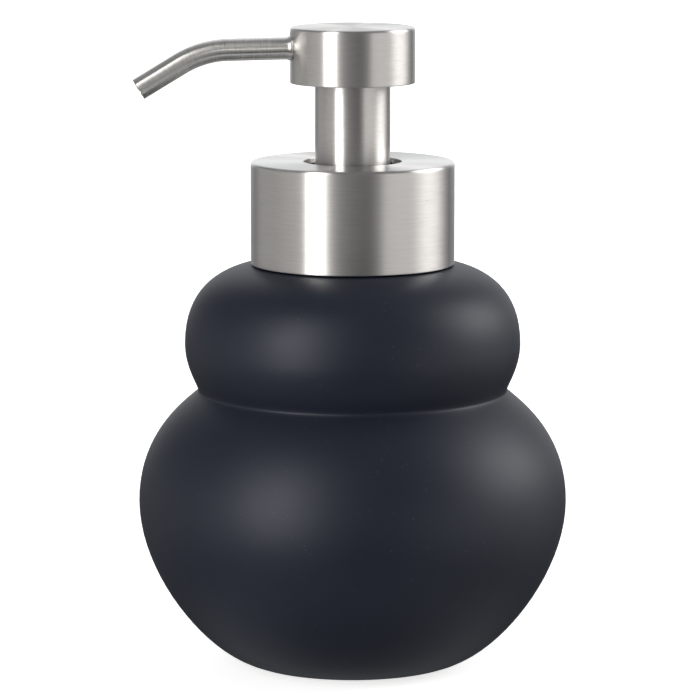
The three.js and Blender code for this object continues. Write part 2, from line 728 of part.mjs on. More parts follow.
// The spout's centre line: a straight run, a bend and a straight tip, starting at startX.
function spoutPath(startX, tipCut) {
  const droop = radians(SPOUT_DROOP_DEG);
  const steep = radians(SPOUT_DROOP_DEG + SPOUT_BEND_DEG);
  const heightAt = (x) => spoutZ - (x - HEAD_R) * Math.tan(droop);
  const start = new THREE.Vector3(-startX, 0, heightAt(startX));
  const bend = new THREE.Vector3(-SPOUT_BEND_X, 0, heightAt(SPOUT_BEND_X));
  const onBend = (angle) => new THREE.Vector3(
    bend.x - SPOUT_BEND_R * (Math.sin(angle) - Math.sin(droop)),
    0,
    bend.z - SPOUT_BEND_R * (Math.cos(droop) - Math.cos(angle)),
  );
  const bendEnd = onBend(steep);
  const heading = (angle) => new THREE.Vector3(-Math.cos(angle), 0, -Math.sin(angle));
  const handle = SPOUT_BEND_R * (4 / 3) * Math.tan((steep - droop) / 4);
  const tip = bendEnd.clone().addScaledVector(heading(steep), SPOUT_TIP_L - tipCut);
  const path = new THREE.CurvePath();
  path.add(new THREE.LineCurve3(start, bend));
  path.add(new THREE.CubicBezierCurve3(
    bend,
    bend.clone().addScaledVector(heading(droop), handle),
    bendEnd.clone().addScaledVector(heading(steep), -handle),
    bendEnd,
  ));
  path.add(new THREE.LineCurve3(bendEnd, tip));
  return path;
}

function spoutTube() {
  const path = spoutPath(SPOUT_INNER_X, 0);
  return swept(path, SPOUT_R, SPOUT_R - SPOUT_WALL, TUBE_SEGMENTS, SPOUT_STEPS);
}

function spoutLiner() {
  const path = spoutPath(SPOUT_INNER_X, LINER_SETBACK);
  return swept(path, linerR, linerR - LINER_WALL, TUBE_SEGMENTS, SPOUT_STEPS);
}

// A straight cutter along the spout's first run, from x = -innerX outwards.
function spoutCutter(radius, innerX) {
  const droop = radians(SPOUT_DROOP_DEG);
  const length = HEAD_R + CUTTER_PAST - innerX;
  const cutter = bar(radius, 0, length, TUBE_SEGMENTS);
  cutter.rotateY(-Math.PI / 2 - droop);
  cutter.translate(-innerX, 0, spoutZ + (HEAD_R - innerX) * Math.tan(droop));
  return toSolid(cutter);
}

function headShell() {
  const inner = HEAD_R - HEAD_T;
  const body = turned([
    [0, headCoreTop],
    [inner, headCoreTop],
    [inner, headBottom],
    [HEAD_R, headBottom],
    [HEAD_R, headTop - HEAD_EDGE],
    [HEAD_R - HEAD_EDGE, headTop],
    [0, headTop],
  ], COLLAR_SEGMENTS);
  return toGeometry(toSolid(body).subtract(spoutCutter(spoutBoreR, HEAD_R / 2)));
}

function headCore() {
  const skinR = STEM_R + STEM_SKIN_FIT;
  const socketWallR = stemCoreR + STEM_SKIN_FIT;
  const channelTop = spoutZ + SPOUT_R;
  const body = turned([
    [0, channelTop],
    [stemUpperBoreR, channelTop],
    [stemUpperBoreR, stemTop],
    [socketWallR, stemTop],
    [socketWallR, sleeveTop],
    [skinR, sleeveTop],
    [skinR, headCoreBottom],
    [headCoreR, headCoreBottom],
    [headCoreR, headCoreTop],
    [0, headCoreTop],
  ], COLLAR_SEGMENTS);
  return toGeometry(toSolid(body).subtract(spoutCutter(spoutBoreR, SPOUT_INNER_X - SPOUT_R)));
}

// ---------------------------------------------------------------- assembly
function part(name, geometry, material) {
  const mesh = new THREE.Mesh(geometry, finish(...material));
  mesh.name = name;
  return mesh;
}

const bottleGroup = new THREE.Group();
bottleGroup.add(
  part('bottle', bottle(), CERAMIC),
  part('base_pad', basePad(), RUBBER),
  part('neck_insert', neckInsert(), BLACK_PLASTIC),
);

const closureGroup = new THREE.Group();
closureGroup.add(
  part('bottle_gasket', bottleGasket(), SILICONE),
  part('collar_shell', collarShell(), STEEL),
  part('closure', closure(), BLACK_PLASTIC),
);

const housingGroup = new THREE.Group();
housingGroup.add(
  part('pump_cylinder', pumpCylinder(), CLEAR_PLASTIC),
  part('inlet_ball', inletBall(), SPRING_STEEL),
  part('dip_tube', dipTube(), CLEAR_PLASTIC),
  part('return_spring', returnSpring(), SPRING_STEEL),
);

const plungerGroup = new THREE.Group();
plungerGroup.add(
  part('liquid_piston', liquidPiston(), WHITE_PLASTIC),
  part('liquid_seal', liquidSeal(), SILICONE),
  part('air_piston', airPiston(), WHITE_PLASTIC),
  part('air_valve', airValve(), SILICONE),
  part('outlet_ball', outletBall(), SPRING_STEEL),
);

const headGroup = new THREE.Group();
headGroup.add(
  part('stem_core', stemCore(), BLACK_PLASTIC),
  part('stem_sleeve', stemSleeve(), STEEL),
  part('mesh_cartridge', meshCartridge(), WHITE_PLASTIC),
  part('lower_mesh', meshDisc(hubTop), WHITE_PLASTIC),
  part('upper_mesh', meshDisc(cartridgeTop), WHITE_PLASTIC),
  part('head_core', headCore(), BLACK_PLASTIC),
  part('head_shell', headShell(), STEEL),
  part('spout_tube', spoutTube(), STEEL),
  part('spout_liner', spoutLiner(), CLEAR_PLASTIC),
);

const dispenser = new THREE.Group();
dispenser.add(bottleGroup, closureGroup, housingGroup, plungerGroup, headGroup);

export default dispenser;
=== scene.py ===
# %% [markdown]
# # A foaming soap dispenser, piece by piece
# The dispenser is a two-bulge ceramic bottle with a steel-clad pump screwed into its neck.
# Its solids were designed and packed beforehand, so this lesson starts by loading them as a
# fixed frame. Each finished piece then takes the place of one solid, with finer curves, rounded
# edges and its real finish, and it rides on the same moving body as the solid did.

import json
import math

import bmesh
import bpy
import numpy as np
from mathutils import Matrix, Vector


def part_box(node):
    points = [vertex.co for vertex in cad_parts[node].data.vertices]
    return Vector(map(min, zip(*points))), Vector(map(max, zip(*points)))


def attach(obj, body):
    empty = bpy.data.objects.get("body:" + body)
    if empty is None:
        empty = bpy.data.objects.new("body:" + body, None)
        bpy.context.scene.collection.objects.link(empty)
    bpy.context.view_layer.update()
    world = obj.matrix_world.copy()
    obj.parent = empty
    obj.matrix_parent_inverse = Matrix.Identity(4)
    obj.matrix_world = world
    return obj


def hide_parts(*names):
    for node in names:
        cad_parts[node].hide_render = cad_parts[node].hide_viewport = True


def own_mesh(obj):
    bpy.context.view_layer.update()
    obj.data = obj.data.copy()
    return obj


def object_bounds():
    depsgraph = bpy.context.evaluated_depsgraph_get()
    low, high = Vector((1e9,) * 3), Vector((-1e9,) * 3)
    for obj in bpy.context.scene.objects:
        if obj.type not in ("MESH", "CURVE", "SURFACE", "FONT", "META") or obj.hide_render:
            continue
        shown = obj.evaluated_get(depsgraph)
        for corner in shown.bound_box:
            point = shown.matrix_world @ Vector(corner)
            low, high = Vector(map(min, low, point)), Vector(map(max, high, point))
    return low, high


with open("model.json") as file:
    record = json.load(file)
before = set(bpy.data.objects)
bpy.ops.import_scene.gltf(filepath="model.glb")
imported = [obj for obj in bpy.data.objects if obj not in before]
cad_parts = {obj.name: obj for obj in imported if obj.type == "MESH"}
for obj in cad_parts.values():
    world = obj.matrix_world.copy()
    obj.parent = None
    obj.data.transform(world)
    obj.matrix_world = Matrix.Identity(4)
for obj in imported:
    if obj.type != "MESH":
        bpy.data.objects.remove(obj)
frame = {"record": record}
CAD_BOX = [list(corner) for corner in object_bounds()]
MM = 0.001  # every size below is in millimetres, and Blender's unit here is the metre

BODY_OF = {
    node: body
    for body, nodes in frame["record"]["behaviour"]["bodies"].items()
    for node in nodes
}
SLOT_OF = {sub["node"]: sub["material_slot"] for sub in frame["record"]["subparts"]}

# %% [markdown]
# A turned piece is fully described by its radius and its two heights. They are read from the
# solid that the new piece replaces, so a piece can't drift away from the pump it belongs to.
# The radius comes from the Y side of the box, because every faceted ring has corners there.

# %% Read a turned solid's radius and heights
def reach(node):
    """(radius, bottom, top) of a solid turned about the Z axis, in millimetres."""
    low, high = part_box(node)
    return high.y / MM, low.z / MM, high.z / MM


belly_r, foot_z, bottle_top = reach("bottle")
print(f"bottle: radius {belly_r:.1f}, from {foot_z:.1f} to {bottle_top:.1f} mm")

# %% [markdown]
# ## Camera
# The camera stands a metre away with a long lens, a little above the pump, so the collar and
# the head show thin ellipses of their tops. It is turned slightly towards the spout's side,
# which makes the spout come forwards. The point it looks at is set as a share of the height.

# %% Set up the camera
CAMERA_TURN = math.radians(-9.0)  # round the object, from looking along +Y
CAMERA_PITCH = math.radians(8.87)
CAMERA_DISTANCE = 0.998
AIM_SHARE = 0.494  # of the object's height
AIM_SHIFT = 0.00067  # to the left of the pump's axis
SENSOR = 36.0
LENS = 200.0

low, high = (Vector(corner) for corner in CAD_BOX)
to_camera = Vector((math.sin(CAMERA_TURN), -math.cos(CAMERA_TURN), 0))
to_right = Vector((math.cos(CAMERA_TURN), math.sin(CAMERA_TURN), 0))
aim = Vector((0, 0, low.z + AIM_SHARE * (high.z - low.z))) - AIM_SHIFT * to_right
outwards = math.cos(CAMERA_PITCH) * to_camera + Vector((0, 0, math.sin(CAMERA_PITCH)))

lens = bpy.data.cameras.new("camera")
lens.lens = LENS
lens.sensor_width = SENSOR
lens.clip_start = 0.01
camera = bpy.data.objects.new("camera", lens)
camera.location = aim + CAMERA_DISTANCE * outwards
camera.rotation_euler = (-outwards).to_track_quat("-Z", "Y").to_euler()
bpy.context.scene.collection.objects.link(camera)
bpy.context.scene.camera = camera
bpy.context.scene.view_settings.view_transform = "Standard"
print("camera at", [round(value, 3) for value in camera.location])

# %% [markdown]
# ## Small helpers for node trees
# Every finish is a little network of nodes. Three helpers keep the networks readable: one adds
# a node and fills its inputs, one does arithmetic, and one spreads a 0 to 1 pattern over a range.

# %% Node helpers
def fill(tree, socket, value):
    """Links another node's output into the socket, or sets a plain number or colour on it."""
    if isinstance(value, bpy.types.NodeSocket):
        tree.links.new(value, socket)
    else:
        socket.default_value = value


def add(tree, kind, inputs=None, **settings):
    """A new node of that kind, with inputs by name or number, and its settings."""
    made = tree.nodes.new("ShaderNode" + kind)
    for name, value in settings.items():
        setattr(made, name, value)
    for name, value in (inputs or {}).items():
        fill(tree, made.inputs[name], value)
    return made


def maths(tree, operation, first, second=0.0):
    """One arithmetic step on two numbers."""
    return add(tree, "Math", {0: first, 1: second}, operation=operation).outputs[0]


def spread(tree, pattern, start, end):
    """A pattern from 0 to 1, spread from start to end."""
    values = {"Value": pattern, "To Min": start, "To Max": end}
    return add(tree, "MapRange", values).outputs[0]


def blend_colors(tree, share, first, second):
    """A mix of two colours; inputs 6 and 7 are the node's colour pair."""
    mix = add(tree, "Mix", {0: share, 6: first, 7: second}, data_type="RGBA")
    return mix.outputs[2]


def ramp(tree, position, stops):
    """Grey levels between stops, a list of (position, level)."""
    made = add(tree, "ValToRGB", {0: position})
    elements = made.color_ramp.elements
    for index, (place, level) in enumerate(stops):
        stop = elements[index] if index < 2 else elements.new(place)
        stop.position = place
        stop.color = (level, level, level, 1)
    return made.outputs[0]


NODE_HELPERS = (fill, add, maths, spread, blend_colors, ramp)
print("node helpers:", *(helper.__name__ for helper in NODE_HELPERS))

# %% [markdown]
# ## Studio light
# Steel shows nothing but its surroundings, so the studio is painted as bands round the object:
# a narrow bright panel on the left, a dark gap where the camera stands, and a wide softer panel
# on the right. Above the horizon come a pale wall behind, a large soft box on the right, and a
# thin bright slit in front, which draws the fine line along the spout. All of it is one
# procedural world, so the bands stay in their places when another view is taken.
# What the camera sees directly stays white.

# %% Levels of the light round the horizon
# (degrees to the right of the camera, brightness)
BANDS = [
    (-180, 0.05), (-150, 0.12), (-128, 0.38), (-97, 0.46), (-74, 0.60), (-58, 0.64),
    (-44, 0.64), (-30, 0.64), (-20, 0.34), (-12, 0.18), (0, 0.09), (10, 0.04), (20, 0.04),
    (30, 0.28), (38, 0.82), (56, 0.92), (74, 0.84), (88, 0.70), (108, 0.64), (124, 0.42),
    (140, 0.10), (180, 0.05),
]
BAND_PEAK = 1.0
# (sine of the elevation, share of the brightness)
BAND_HEIGHT = [
    (-1.0, 0.0), (-0.52, 0.02), (-0.40, 0.6), (-0.28, 1.0), (0.10, 1.0), (0.26, 0.30),
    (0.45, 0.06), (1.0, 0.02),
]
print(len(BANDS), "stops round the horizon, brightest", max(level for _, level in BANDS))

# %% [markdown]
# Each of the other lights is a soft-edged patch: one list of levels for the turn round the
# object and one for the height. The panel draws the glow on the left of the ceramic, the soft
# box the glow on its right, the wall the fine bright rim, and the floor's glow the underside.

# %% Levels of the panel, the soft box, the wall, the slit and the floor
# Each light has a brightness, levels for the turn and levels for the height.
PANEL_BRIGHTNESS = 7.5
PANEL_TURN = [(-180, 0.0), (-55, 0.0), (-50, 1.0), (-37, 1.0), (-29, 0.0), (180, 0.0)]
PANEL_HEIGHT = [(-1.0, 0.0), (-0.16, 0.0), (-0.04, 1.0), (0.60, 1.0), (0.80, 0.0), (1.0, 0.0)]
SOFT_BOX_BRIGHTNESS = 5.6
SOFT_BOX_TURN = [(-180, 0.0), (75, 0.0), (94, 1.0), (114, 1.0), (130, 0.0), (180, 0.0)]
SOFT_BOX_HEIGHT = [(-1.0, 0.0), (0.10, 0.0), (0.24, 1.0), (0.56, 1.0), (0.74, 0.0), (1.0, 0.0)]
WALL_BRIGHTNESS = 0.96
WALL_TURN = [
    (-180, 1.0), (-164, 1.0), (-142, 0.08), (90, 0.04), (140, 0.2), (164, 1.0), (180, 1.0),
]
WALL_HEIGHT = [(-1.0, 0.0), (-0.12, 0.0), (-0.03, 1.0), (0.6, 1.0), (0.85, 0.6), (1.0, 0.3)]
SLIT_BRIGHTNESS = 0.8
SLIT_TURN = [(-180, 0.0), (-70, 0.0), (-40, 1.0), (40, 1.0), (70, 0.0), (180, 0.0)]
SLIT_HEIGHT = [(-1.0, 0.0), (0.01, 0.0), (0.03, 1.0), (0.10, 1.0), (0.12, 0.0), (1.0, 0.0)]
FLOOR_BRIGHTNESS = 0.5
FLOOR_GLOW = [(-1.0, 0.25), (-0.92, 0.30), (-0.82, 1.0), (-0.70, 1.0), (-0.54, 0.0), (1.0, 0.0)]
OVERHEAD = 0.20  # straight above, falling to nothing at the horizon
PANEL_TINT = (1.0, 0.975, 0.945, 1)
WALL_TINT = (0.97, 0.985, 1.0, 1)
print("strongest light:", max(PANEL_BRIGHTNESS, SOFT_BOX_BRIGHTNESS, WALL_BRIGHTNESS))

# %% [markdown]
# The world's shader turns a direction into two numbers, the angle round the object and the sine
# of the elevation. Each patch is a product of two ramps, so it has soft edges both ways, and
# the patches simply add up. Panels are slightly warm and walls slightly cold, as lamps and
# daylight are.

# %% Paint the studio round the object
world = bpy.data.worlds.new("studio")
world.use_nodes = True
tree = world.node_tree
tree.nodes.clear()
direction = add(tree, "TexCoord").outputs["Generated"]
ahead = add(tree, "VectorMath", {0: direction, 1: to_camera}, operation="DOT_PRODUCT")
aside = add(tree, "VectorMath", {0: direction, 1: to_right}, operation="DOT_PRODUCT")
rise = add(tree, "SeparateXYZ", {0: direction}).outputs[2]
turn = maths(tree, "ARCTAN2", aside.outputs["Value"], ahead.outputs["Value"])
turn_share = maths(tree, "ADD", maths(tree, "MULTIPLY", turn, 1 / (2 * math.pi)), 0.5)
rise_share = maths(tree, "ADD", maths(tree, "MULTIPLY", rise, 0.5), 0.5)


def level_stops(stops, low_end, high_end, scale=1.0):
    """Stops moved from the range low_end..high_end to 0..1, with their levels divided by scale."""
    return [((at - low_end) / (high_end - low_end), level / scale) for at, level in stops]


def patch(turn_levels, height_levels, strength, peak=1.0):
    """Light that is the product of a level round the object, a level by height and a strength."""
    level = maths(tree, "MULTIPLY",
                  ramp(tree, turn_share, level_stops(turn_levels, -180, 180, peak)),
                  ramp(tree, rise_share, level_stops(height_levels, -1, 1)))
    return maths(tree, "MULTIPLY", level, strength * peak)


bands = patch(BANDS, BAND_HEIGHT, 1.0, BAND_PEAK)
panel = patch(PANEL_TURN, PANEL_HEIGHT, PANEL_BRIGHTNESS)
soft_box = patch(SOFT_BOX_TURN, SOFT_BOX_HEIGHT, SOFT_BOX_BRIGHTNESS)
slit = patch(SLIT_TURN, SLIT_HEIGHT, SLIT_BRIGHTNESS)
wall = patch(WALL_TURN, WALL_HEIGHT, WALL_BRIGHTNESS)
glow = maths(tree, "MULTIPLY", ramp(tree, rise_share, level_stops(FLOOR_GLOW, -1, 1)),
             FLOOR_BRIGHTNESS)
overhead = maths(tree, "MULTIPLY", maths(tree, "MAXIMUM", rise, 0.0), OVERHEAD)
lamps = maths(tree, "ADD", maths(tree, "ADD", bands, slit), maths(tree, "ADD", panel, soft_box))
panels = add(tree, "Background", {"Color": PANEL_TINT, "Strength": lamps})
surroundings = maths(tree, "ADD", wall, maths(tree, "ADD", overhead, glow))
walls = add(tree, "Background", {"Color": WALL_TINT, "Strength": surroundings})
studio = add(tree, "AddShader", {0: panels.outputs[0], 1: walls.outputs[0]})
backdrop = add(tree, "Background", {"Color": (1, 1, 1, 1), "Strength": 1.0})
seen = add(tree, "LightPath").outputs["Is Camera Ray"]
chosen = add(tree, "MixShader", {0: seen, 1: studio.outputs[0], 2: backdrop.outputs[0]})
add(tree, "OutputWorld", {0: chosen.outputs[0]})
bpy.context.scene.world = world
print("the studio is painted with", len(tree.nodes), "nodes")

# %% [markdown]
# ## The parts of a shape
# Nearly every piece of a pump is turned: a half-section carried once round the Z axis. A section
# is a list of (radius, height) corners. Real edges are never knife-sharp, so each corner is
# first rounded with a small arc, which also gives the light something to catch.

# %% Round the corners of a section
ARC_SHARE = 0.42  # the longest an arc may run along one side, as a share of that side
HELD_SHARE = 0.47  # the same for the extra point beyond the arc
HELD_BEYOND = 1.6  # that point's distance from the corner, in radii


def rounded(corners, radius=0.15, steps=4):
    """Each corner C, with sides towards A and B, becomes the curve
    (1-t)^2 P + 2t(1-t) C + t^2 Q, where P and Q lie on the two sides, a radius from C.
    A flat keeps its own shading because one more point is set just before P and after Q."""
    corners = np.asarray(corners, float)
    radius = np.broadcast_to(np.asarray(radius, float), len(corners))
    radius = np.where(corners[:, 0] < 1e-9, 0.0, radius)[:, None]
    before = np.roll(corners, 1, 0) - corners
    after = np.roll(corners, -1, 0) - corners
    before_length = np.linalg.norm(before, axis=1, keepdims=True)
    after_length = np.linalg.norm(after, axis=1, keepdims=True)
    start = before / before_length
    end = after / after_length
    p = corners + start * np.minimum(radius, ARC_SHARE * before_length)
    q = corners + end * np.minimum(radius, ARC_SHARE * after_length)
    held = HELD_BEYOND * radius
    held_p = corners + start * np.minimum(held, HELD_SHARE * before_length)
    held_q = corners + end * np.minimum(held, HELD_SHARE * after_length)
    t = np.linspace(0, 1, steps + 1)[None, :, None]
    arc = (1 - t) ** 2 * p[:, None] + 2 * t * (1 - t) * corners[:, None] + t**2 * q[:, None]
    points = np.concatenate([held_p[:, None], arc, held_q[:, None]], 1).reshape(-1, 2)
    apart = np.linalg.norm(points - np.roll(points, 1, 0), axis=1) > 1e-5
    return points[apart]


def curve(start, first_handle, second_handle, end, steps):
    """A cubic curve: the start, the two handles and the end, weighted by
    (1-t)^3, 3t(1-t)^2, 3t^2(1-t) and t^3."""
    t = np.linspace(0, 1, steps + 1)[:, None]
    weights = [(1 - t) ** 3, 3 * t * (1 - t) ** 2, 3 * t**2 * (1 - t), t**3]
    corners = [start, first_handle, second_handle, end]
    return sum(w * np.asarray(c, float) for w, c in zip(weights, corners))


def split_long(section, longest):
    """The closed section with extra points, so that no side is longer than the limit."""
    sides = np.roll(section, -1, 0) - section
    counts = np.maximum(1, np.ceil(np.linalg.norm(sides, axis=1) / longest)).astype(int)
    first = np.repeat(np.cumsum(counts) - counts, counts)
    share = (np.arange(counts.sum()) - first) / np.repeat(counts, counts)
    return np.repeat(section, counts, 0) + share[:, None] * np.repeat(sides, counts, 0)


print("a square corner becomes", len(rounded([[1, 0], [2, 0], [2, 1], [1, 1]])) // 4, "points")

# %% [markdown]
# A surface is a grid of points with rows along the section and columns round the axis. Each
# small square of the grid becomes a face, and both directions join up with themselves, so the
# mesh is closed. Points that fall together on the axis are merged. The grid's own two directions
# are kept as a UV map: U goes round the piece and V along its section, in tenths of a metre.

# %% Turn a grid of points into a mesh
UV_MAP = "round_and_along"
MERGE = 1e-7


def surface(name, points, along):
    """A closed mesh from points[row, column], where along gives V for each row and the next."""
    rows, columns = points.shape[:2]
    index = np.arange(rows * columns).reshape(rows, columns)
    right = np.roll(index, -1, 1)
    up = np.roll(index, -1, 0)
    up_right = np.roll(up, -1, 1)
    faces = np.stack([index, right, up_right, up], -1).reshape(-1, 4)
    u = np.arange(columns + 1) / columns
    v = np.broadcast_to(along[:, None], (rows + 1, columns))
    u_low = np.broadcast_to(u[:-1], (rows, columns))
    u_high = np.broadcast_to(u[1:], (rows, columns))
    corners = [(u_low, v[:-1]), (u_high, v[:-1]), (u_high, v[1:]), (u_low, v[1:])]
    uv = np.stack([np.stack(corner, -1) for corner in corners], 2)
    mesh = bpy.data.meshes.new(name)
    mesh.from_pydata(points.reshape(-1, 3), [], faces.tolist())
    layer = mesh.uv_layers.new(name=UV_MAP)
    layer.uv.foreach_set("vector", uv.astype(np.float32).ravel())
    joined = bmesh.new()
    joined.from_mesh(mesh)
    bmesh.ops.remove_doubles(joined, verts=joined.verts, dist=MERGE)
    axis_edges = [edge for edge in joined.edges if not edge.link_faces]
    bmesh.ops.delete(joined, geom=axis_edges, context="EDGES")
    joined.to_mesh(mesh)
    joined.free()
    mesh.polygons.foreach_set("use_smooth", np.ones(len(mesh.polygons), bool))
    piece = bpy.data.objects.new(name, mesh)
    bpy.context.scene.collection.objects.link(piece)
    return piece


print(f"points closer than {MERGE / MM:.4f} mm are merged")

# %% [markdown]
# Turning is one formula: a section point at radius r and height z becomes a ring of points at
# equal angles. A swell may change the radius from place to place, which makes threads and welds.

# %% Turn a section about the axis
def turned_points(section, around, swell=None):
    """x = r cos a, y = r sin a, z = height, for each section point and each angle a.
    swell gives a change of radius for every angle, radius and height."""
    section = np.asarray(section, float)
    following = np.roll(section, -1, 0)
    area = np.sum(section[:, 0] * following[:, 1] - following[:, 0] * section[:, 1])
    if area < 0:  # the section has to run anticlockwise for its faces to point outwards
        section = section[::-1]
        following = np.roll(section, -1, 0)
    sides = np.linalg.norm(following - section, axis=1)
    along = np.concatenate([[0], np.cumsum(sides)]) * MM * 10
    angle = 2 * np.pi * np.arange(around) / around
    radius = np.repeat(section[:, :1], around, 1)
    height = np.repeat(section[:, 1:], around, 1)
    if swell is not None:
        radius = radius + swell(angle, radius, height)
    points = np.stack([radius * np.cos(angle), radius * np.sin(angle), height], -1)
    return points * MM, along


def turned(name, section, around=96, swell=None):
    """A piece made by carrying a closed half-section once round the Z axis."""
    return surface(name, *turned_points(section, around, swell))


def ring_section(inner, outer, bottom, top, radius=0.15):
    """The rounded section of a plain ring."""
    corners = [[inner, bottom], [outer, bottom], [outer, top], [inner, top]]
    return rounded(corners, radius)


print("a plain ring is a grid of", turned_points(ring_section(1, 2, 0, 1), 96)[0].shape[:2])

# %% [markdown]
# Holes are cut with a boolean, as a drill would. The drill is a plain round bar with a closed
# end, and the cut is applied at once, so no modifier or tool stays in the scene.

# %% Drill holes through a piece
def drilled(piece, drills):
    """The piece with the shape of each drill cut away."""
    for drill in drills:
        cut = piece.modifiers.new("hole", "BOOLEAN")
        cut.object = drill
        cut.solver = "EXACT"
    graph = bpy.context.evaluated_depsgraph_get()
    mesh = bpy.data.meshes.new_from_object(piece.evaluated_get(graph))
    piece.modifiers.clear()
    piece.data = mesh
    for drill in drills:
        bpy.data.objects.remove(drill)
    return piece


DRILL_SIDES = 32


def drill(radius, start, end, around=DRILL_SIDES):
    """A round bar between two points in millimetres."""
    start, end = Vector(start), Vector(end)
    length = (end - start).length
    corners = [[0, 0], [radius, 0], [radius, length], [0, length]]
    bar = turned("drill", corners, around)
    turn_to = (end - start).to_track_quat("Z", "Y").to_matrix().to_4x4()
    turn_to.translation = start * MM
    bar.data.transform(turn_to)
    return bar


flat_share = 1 - math.cos(math.pi / DRILL_SIDES)
print(f"a drill's flats lie {100 * flat_share:.2f} % of its radius inside its circle")

# %% [markdown]
# ## Finishes
# Each finish starts from one shader and gets its detail from procedural patterns. Turned steel
# is brushed round its axis: thousands of hair lines, each a few millimetres long. The pattern is
# noise that is read with a long step round the piece and a very short step along it. The lines
# scatter light along the section and hardly at all round it, which is what the shader's
# anisotropy does, with its direction taken from the piece's own UV map.

# %% The start of every finish
def new_finish(slot, color, roughness, **sockets):
    """A material with one shader; a plain number or colour is set on the shader itself."""
    material = bpy.data.materials.new(slot)
    material.use_nodes = True
    tree = material.node_tree
    tree.nodes.clear()
    shader = add(tree, "BsdfPrincipled", {"Base Color": (*color, 1), "Roughness": roughness})
    for name, value in sockets.items():
        shader.inputs[name.replace("_", " ")].default_value = value
    add(tree, "OutputMaterial", {0: shader.outputs[0]})
    return material, tree, shader


def bump(tree, shader, pattern, depth):
    """Raises the surface by up to depth metres where the pattern is 1."""
    made = add(tree, "Bump", {"Height": pattern, "Distance": depth, "Strength": 1.0})
    tree.links.new(made.outputs[0], shader.inputs["Normal"])


def noise(tree, vector, scale, detail=2.0, roughness=0.5):
    """A cloudy pattern from 0 to 1; scale is in cells for each unit of the vector."""
    values = {"Vector": vector, "Scale": scale, "Detail": detail, "Roughness": roughness}
    return add(tree, "TexNoise", values).outputs[0]


print("finishes to make:", sorted(set(SLOT_OF.values())))

# %% [markdown]
# Real brushing is done with the piece spinning against a belt, so the lines run round it. The
# noise is read on a cylinder of angle and length, which keeps the lines joined where the UV map
# starts again. The spout gets longer and coarser lines, because a tube is brushed by hand. Its
# steel colour is also lighter than the other steel's. That is painted light: it stands in for the
# light that the tube's underside would reflect from the floor.

# %% Brushed steel
LINE_SHARE = 0.8  # of the tone; a faint cloud has the rest
SHEEN_SWING = 0.07
SCRATCH_DEPTH = 0.000012


def brushed(slot, color, roughness, line_turns, line_width, contrast):
    """Steel with hair lines round the piece; line_turns is the number of lines laid end to end
    in a sixth of a turn, line_width is in millimetres, and contrast is how much lighter or
    darker a line may be."""
    material, tree, shader = new_finish(slot, color, roughness, Metallic=1.0)
    uv = add(tree, "UVMap", uv_map=UV_MAP).outputs[0]
    parts = add(tree, "SeparateXYZ", {0: uv}).outputs
    angle = maths(tree, "MULTIPLY", parts[0], 2 * math.pi)
    x = maths(tree, "MULTIPLY", maths(tree, "COSINE", angle), line_turns)
    y = maths(tree, "MULTIPLY", maths(tree, "SINE", angle), line_turns)
    broad = maths(tree, "MULTIPLY", parts[1], 100 / (3 * line_width))
    fine = maths(tree, "MULTIPLY", parts[1], 100 / line_width)
    broad_lines = noise(tree, add(tree, "CombineXYZ", {0: x, 1: y, 2: broad}).outputs[0], 1.0)
    fine_lines = noise(tree, add(tree, "CombineXYZ", {0: x, 1: y, 2: fine}).outputs[0], 1.0)
    both = maths(tree, "MULTIPLY", maths(tree, "ADD", broad_lines, fine_lines), 0.5)
    light = tuple(min(1.0, (1 + contrast) * c) for c in color)
    dark = tuple((1 - contrast) * c for c in color)
    lines = add(tree, "MapRange", {"Value": both, "From Min": 0.3, "From Max": 0.7}).outputs[0]
    cloud = noise(tree, add(tree, "TexCoord").outputs["Object"], 120.0, 3.0)
    tone = maths(tree, "ADD", maths(tree, "MULTIPLY", lines, LINE_SHARE),
                 maths(tree, "MULTIPLY", cloud, 1 - LINE_SHARE))
    fill(tree, shader.inputs["Base Color"], blend_colors(tree, tone, (*dark, 1), (*light, 1)))
    sheen = spread(tree, both, roughness - SHEEN_SWING, roughness + SHEEN_SWING)
    fill(tree, shader.inputs["Roughness"], sheen)
    shader.inputs["Anisotropic"].default_value = 0.9
    shader.inputs["Anisotropic Rotation"].default_value = 0.25
    tangent = add(tree, "Tangent", direction_type="UV_MAP", uv_map=UV_MAP)
    tree.links.new(tangent.outputs[0], shader.inputs["Tangent"])
    bump(tree, shader, both, SCRATCH_DEPTH)
    return material


FINISHES = {
    "brushed_steel": brushed("brushed_steel", (0.70, 0.69, 0.68), 0.31, 4.0, 0.16, 0.09),
    # the spout's lighter colour is painted light, a lift for the light its underside would reflect
    "spout_steel": brushed("spout_steel", (0.78, 0.77, 0.75), 0.30, 1.0, 0.22, 0.16),
}
print("steel finishes:", sorted(FINISHES))

# %% [markdown]
# The ceramic has a matte black glaze with a cold, slightly blue tone. Up close such a glaze is
# not even: it has a very shallow ripple from firing, tiny pits, and cloudy changes of sheen.
# The foot ring stands on the kiln shelf, so it is wiped clean of glaze and shows the bare clay.

# %% Matte ceramic glaze
RIPPLE_DEPTH = 0.00003


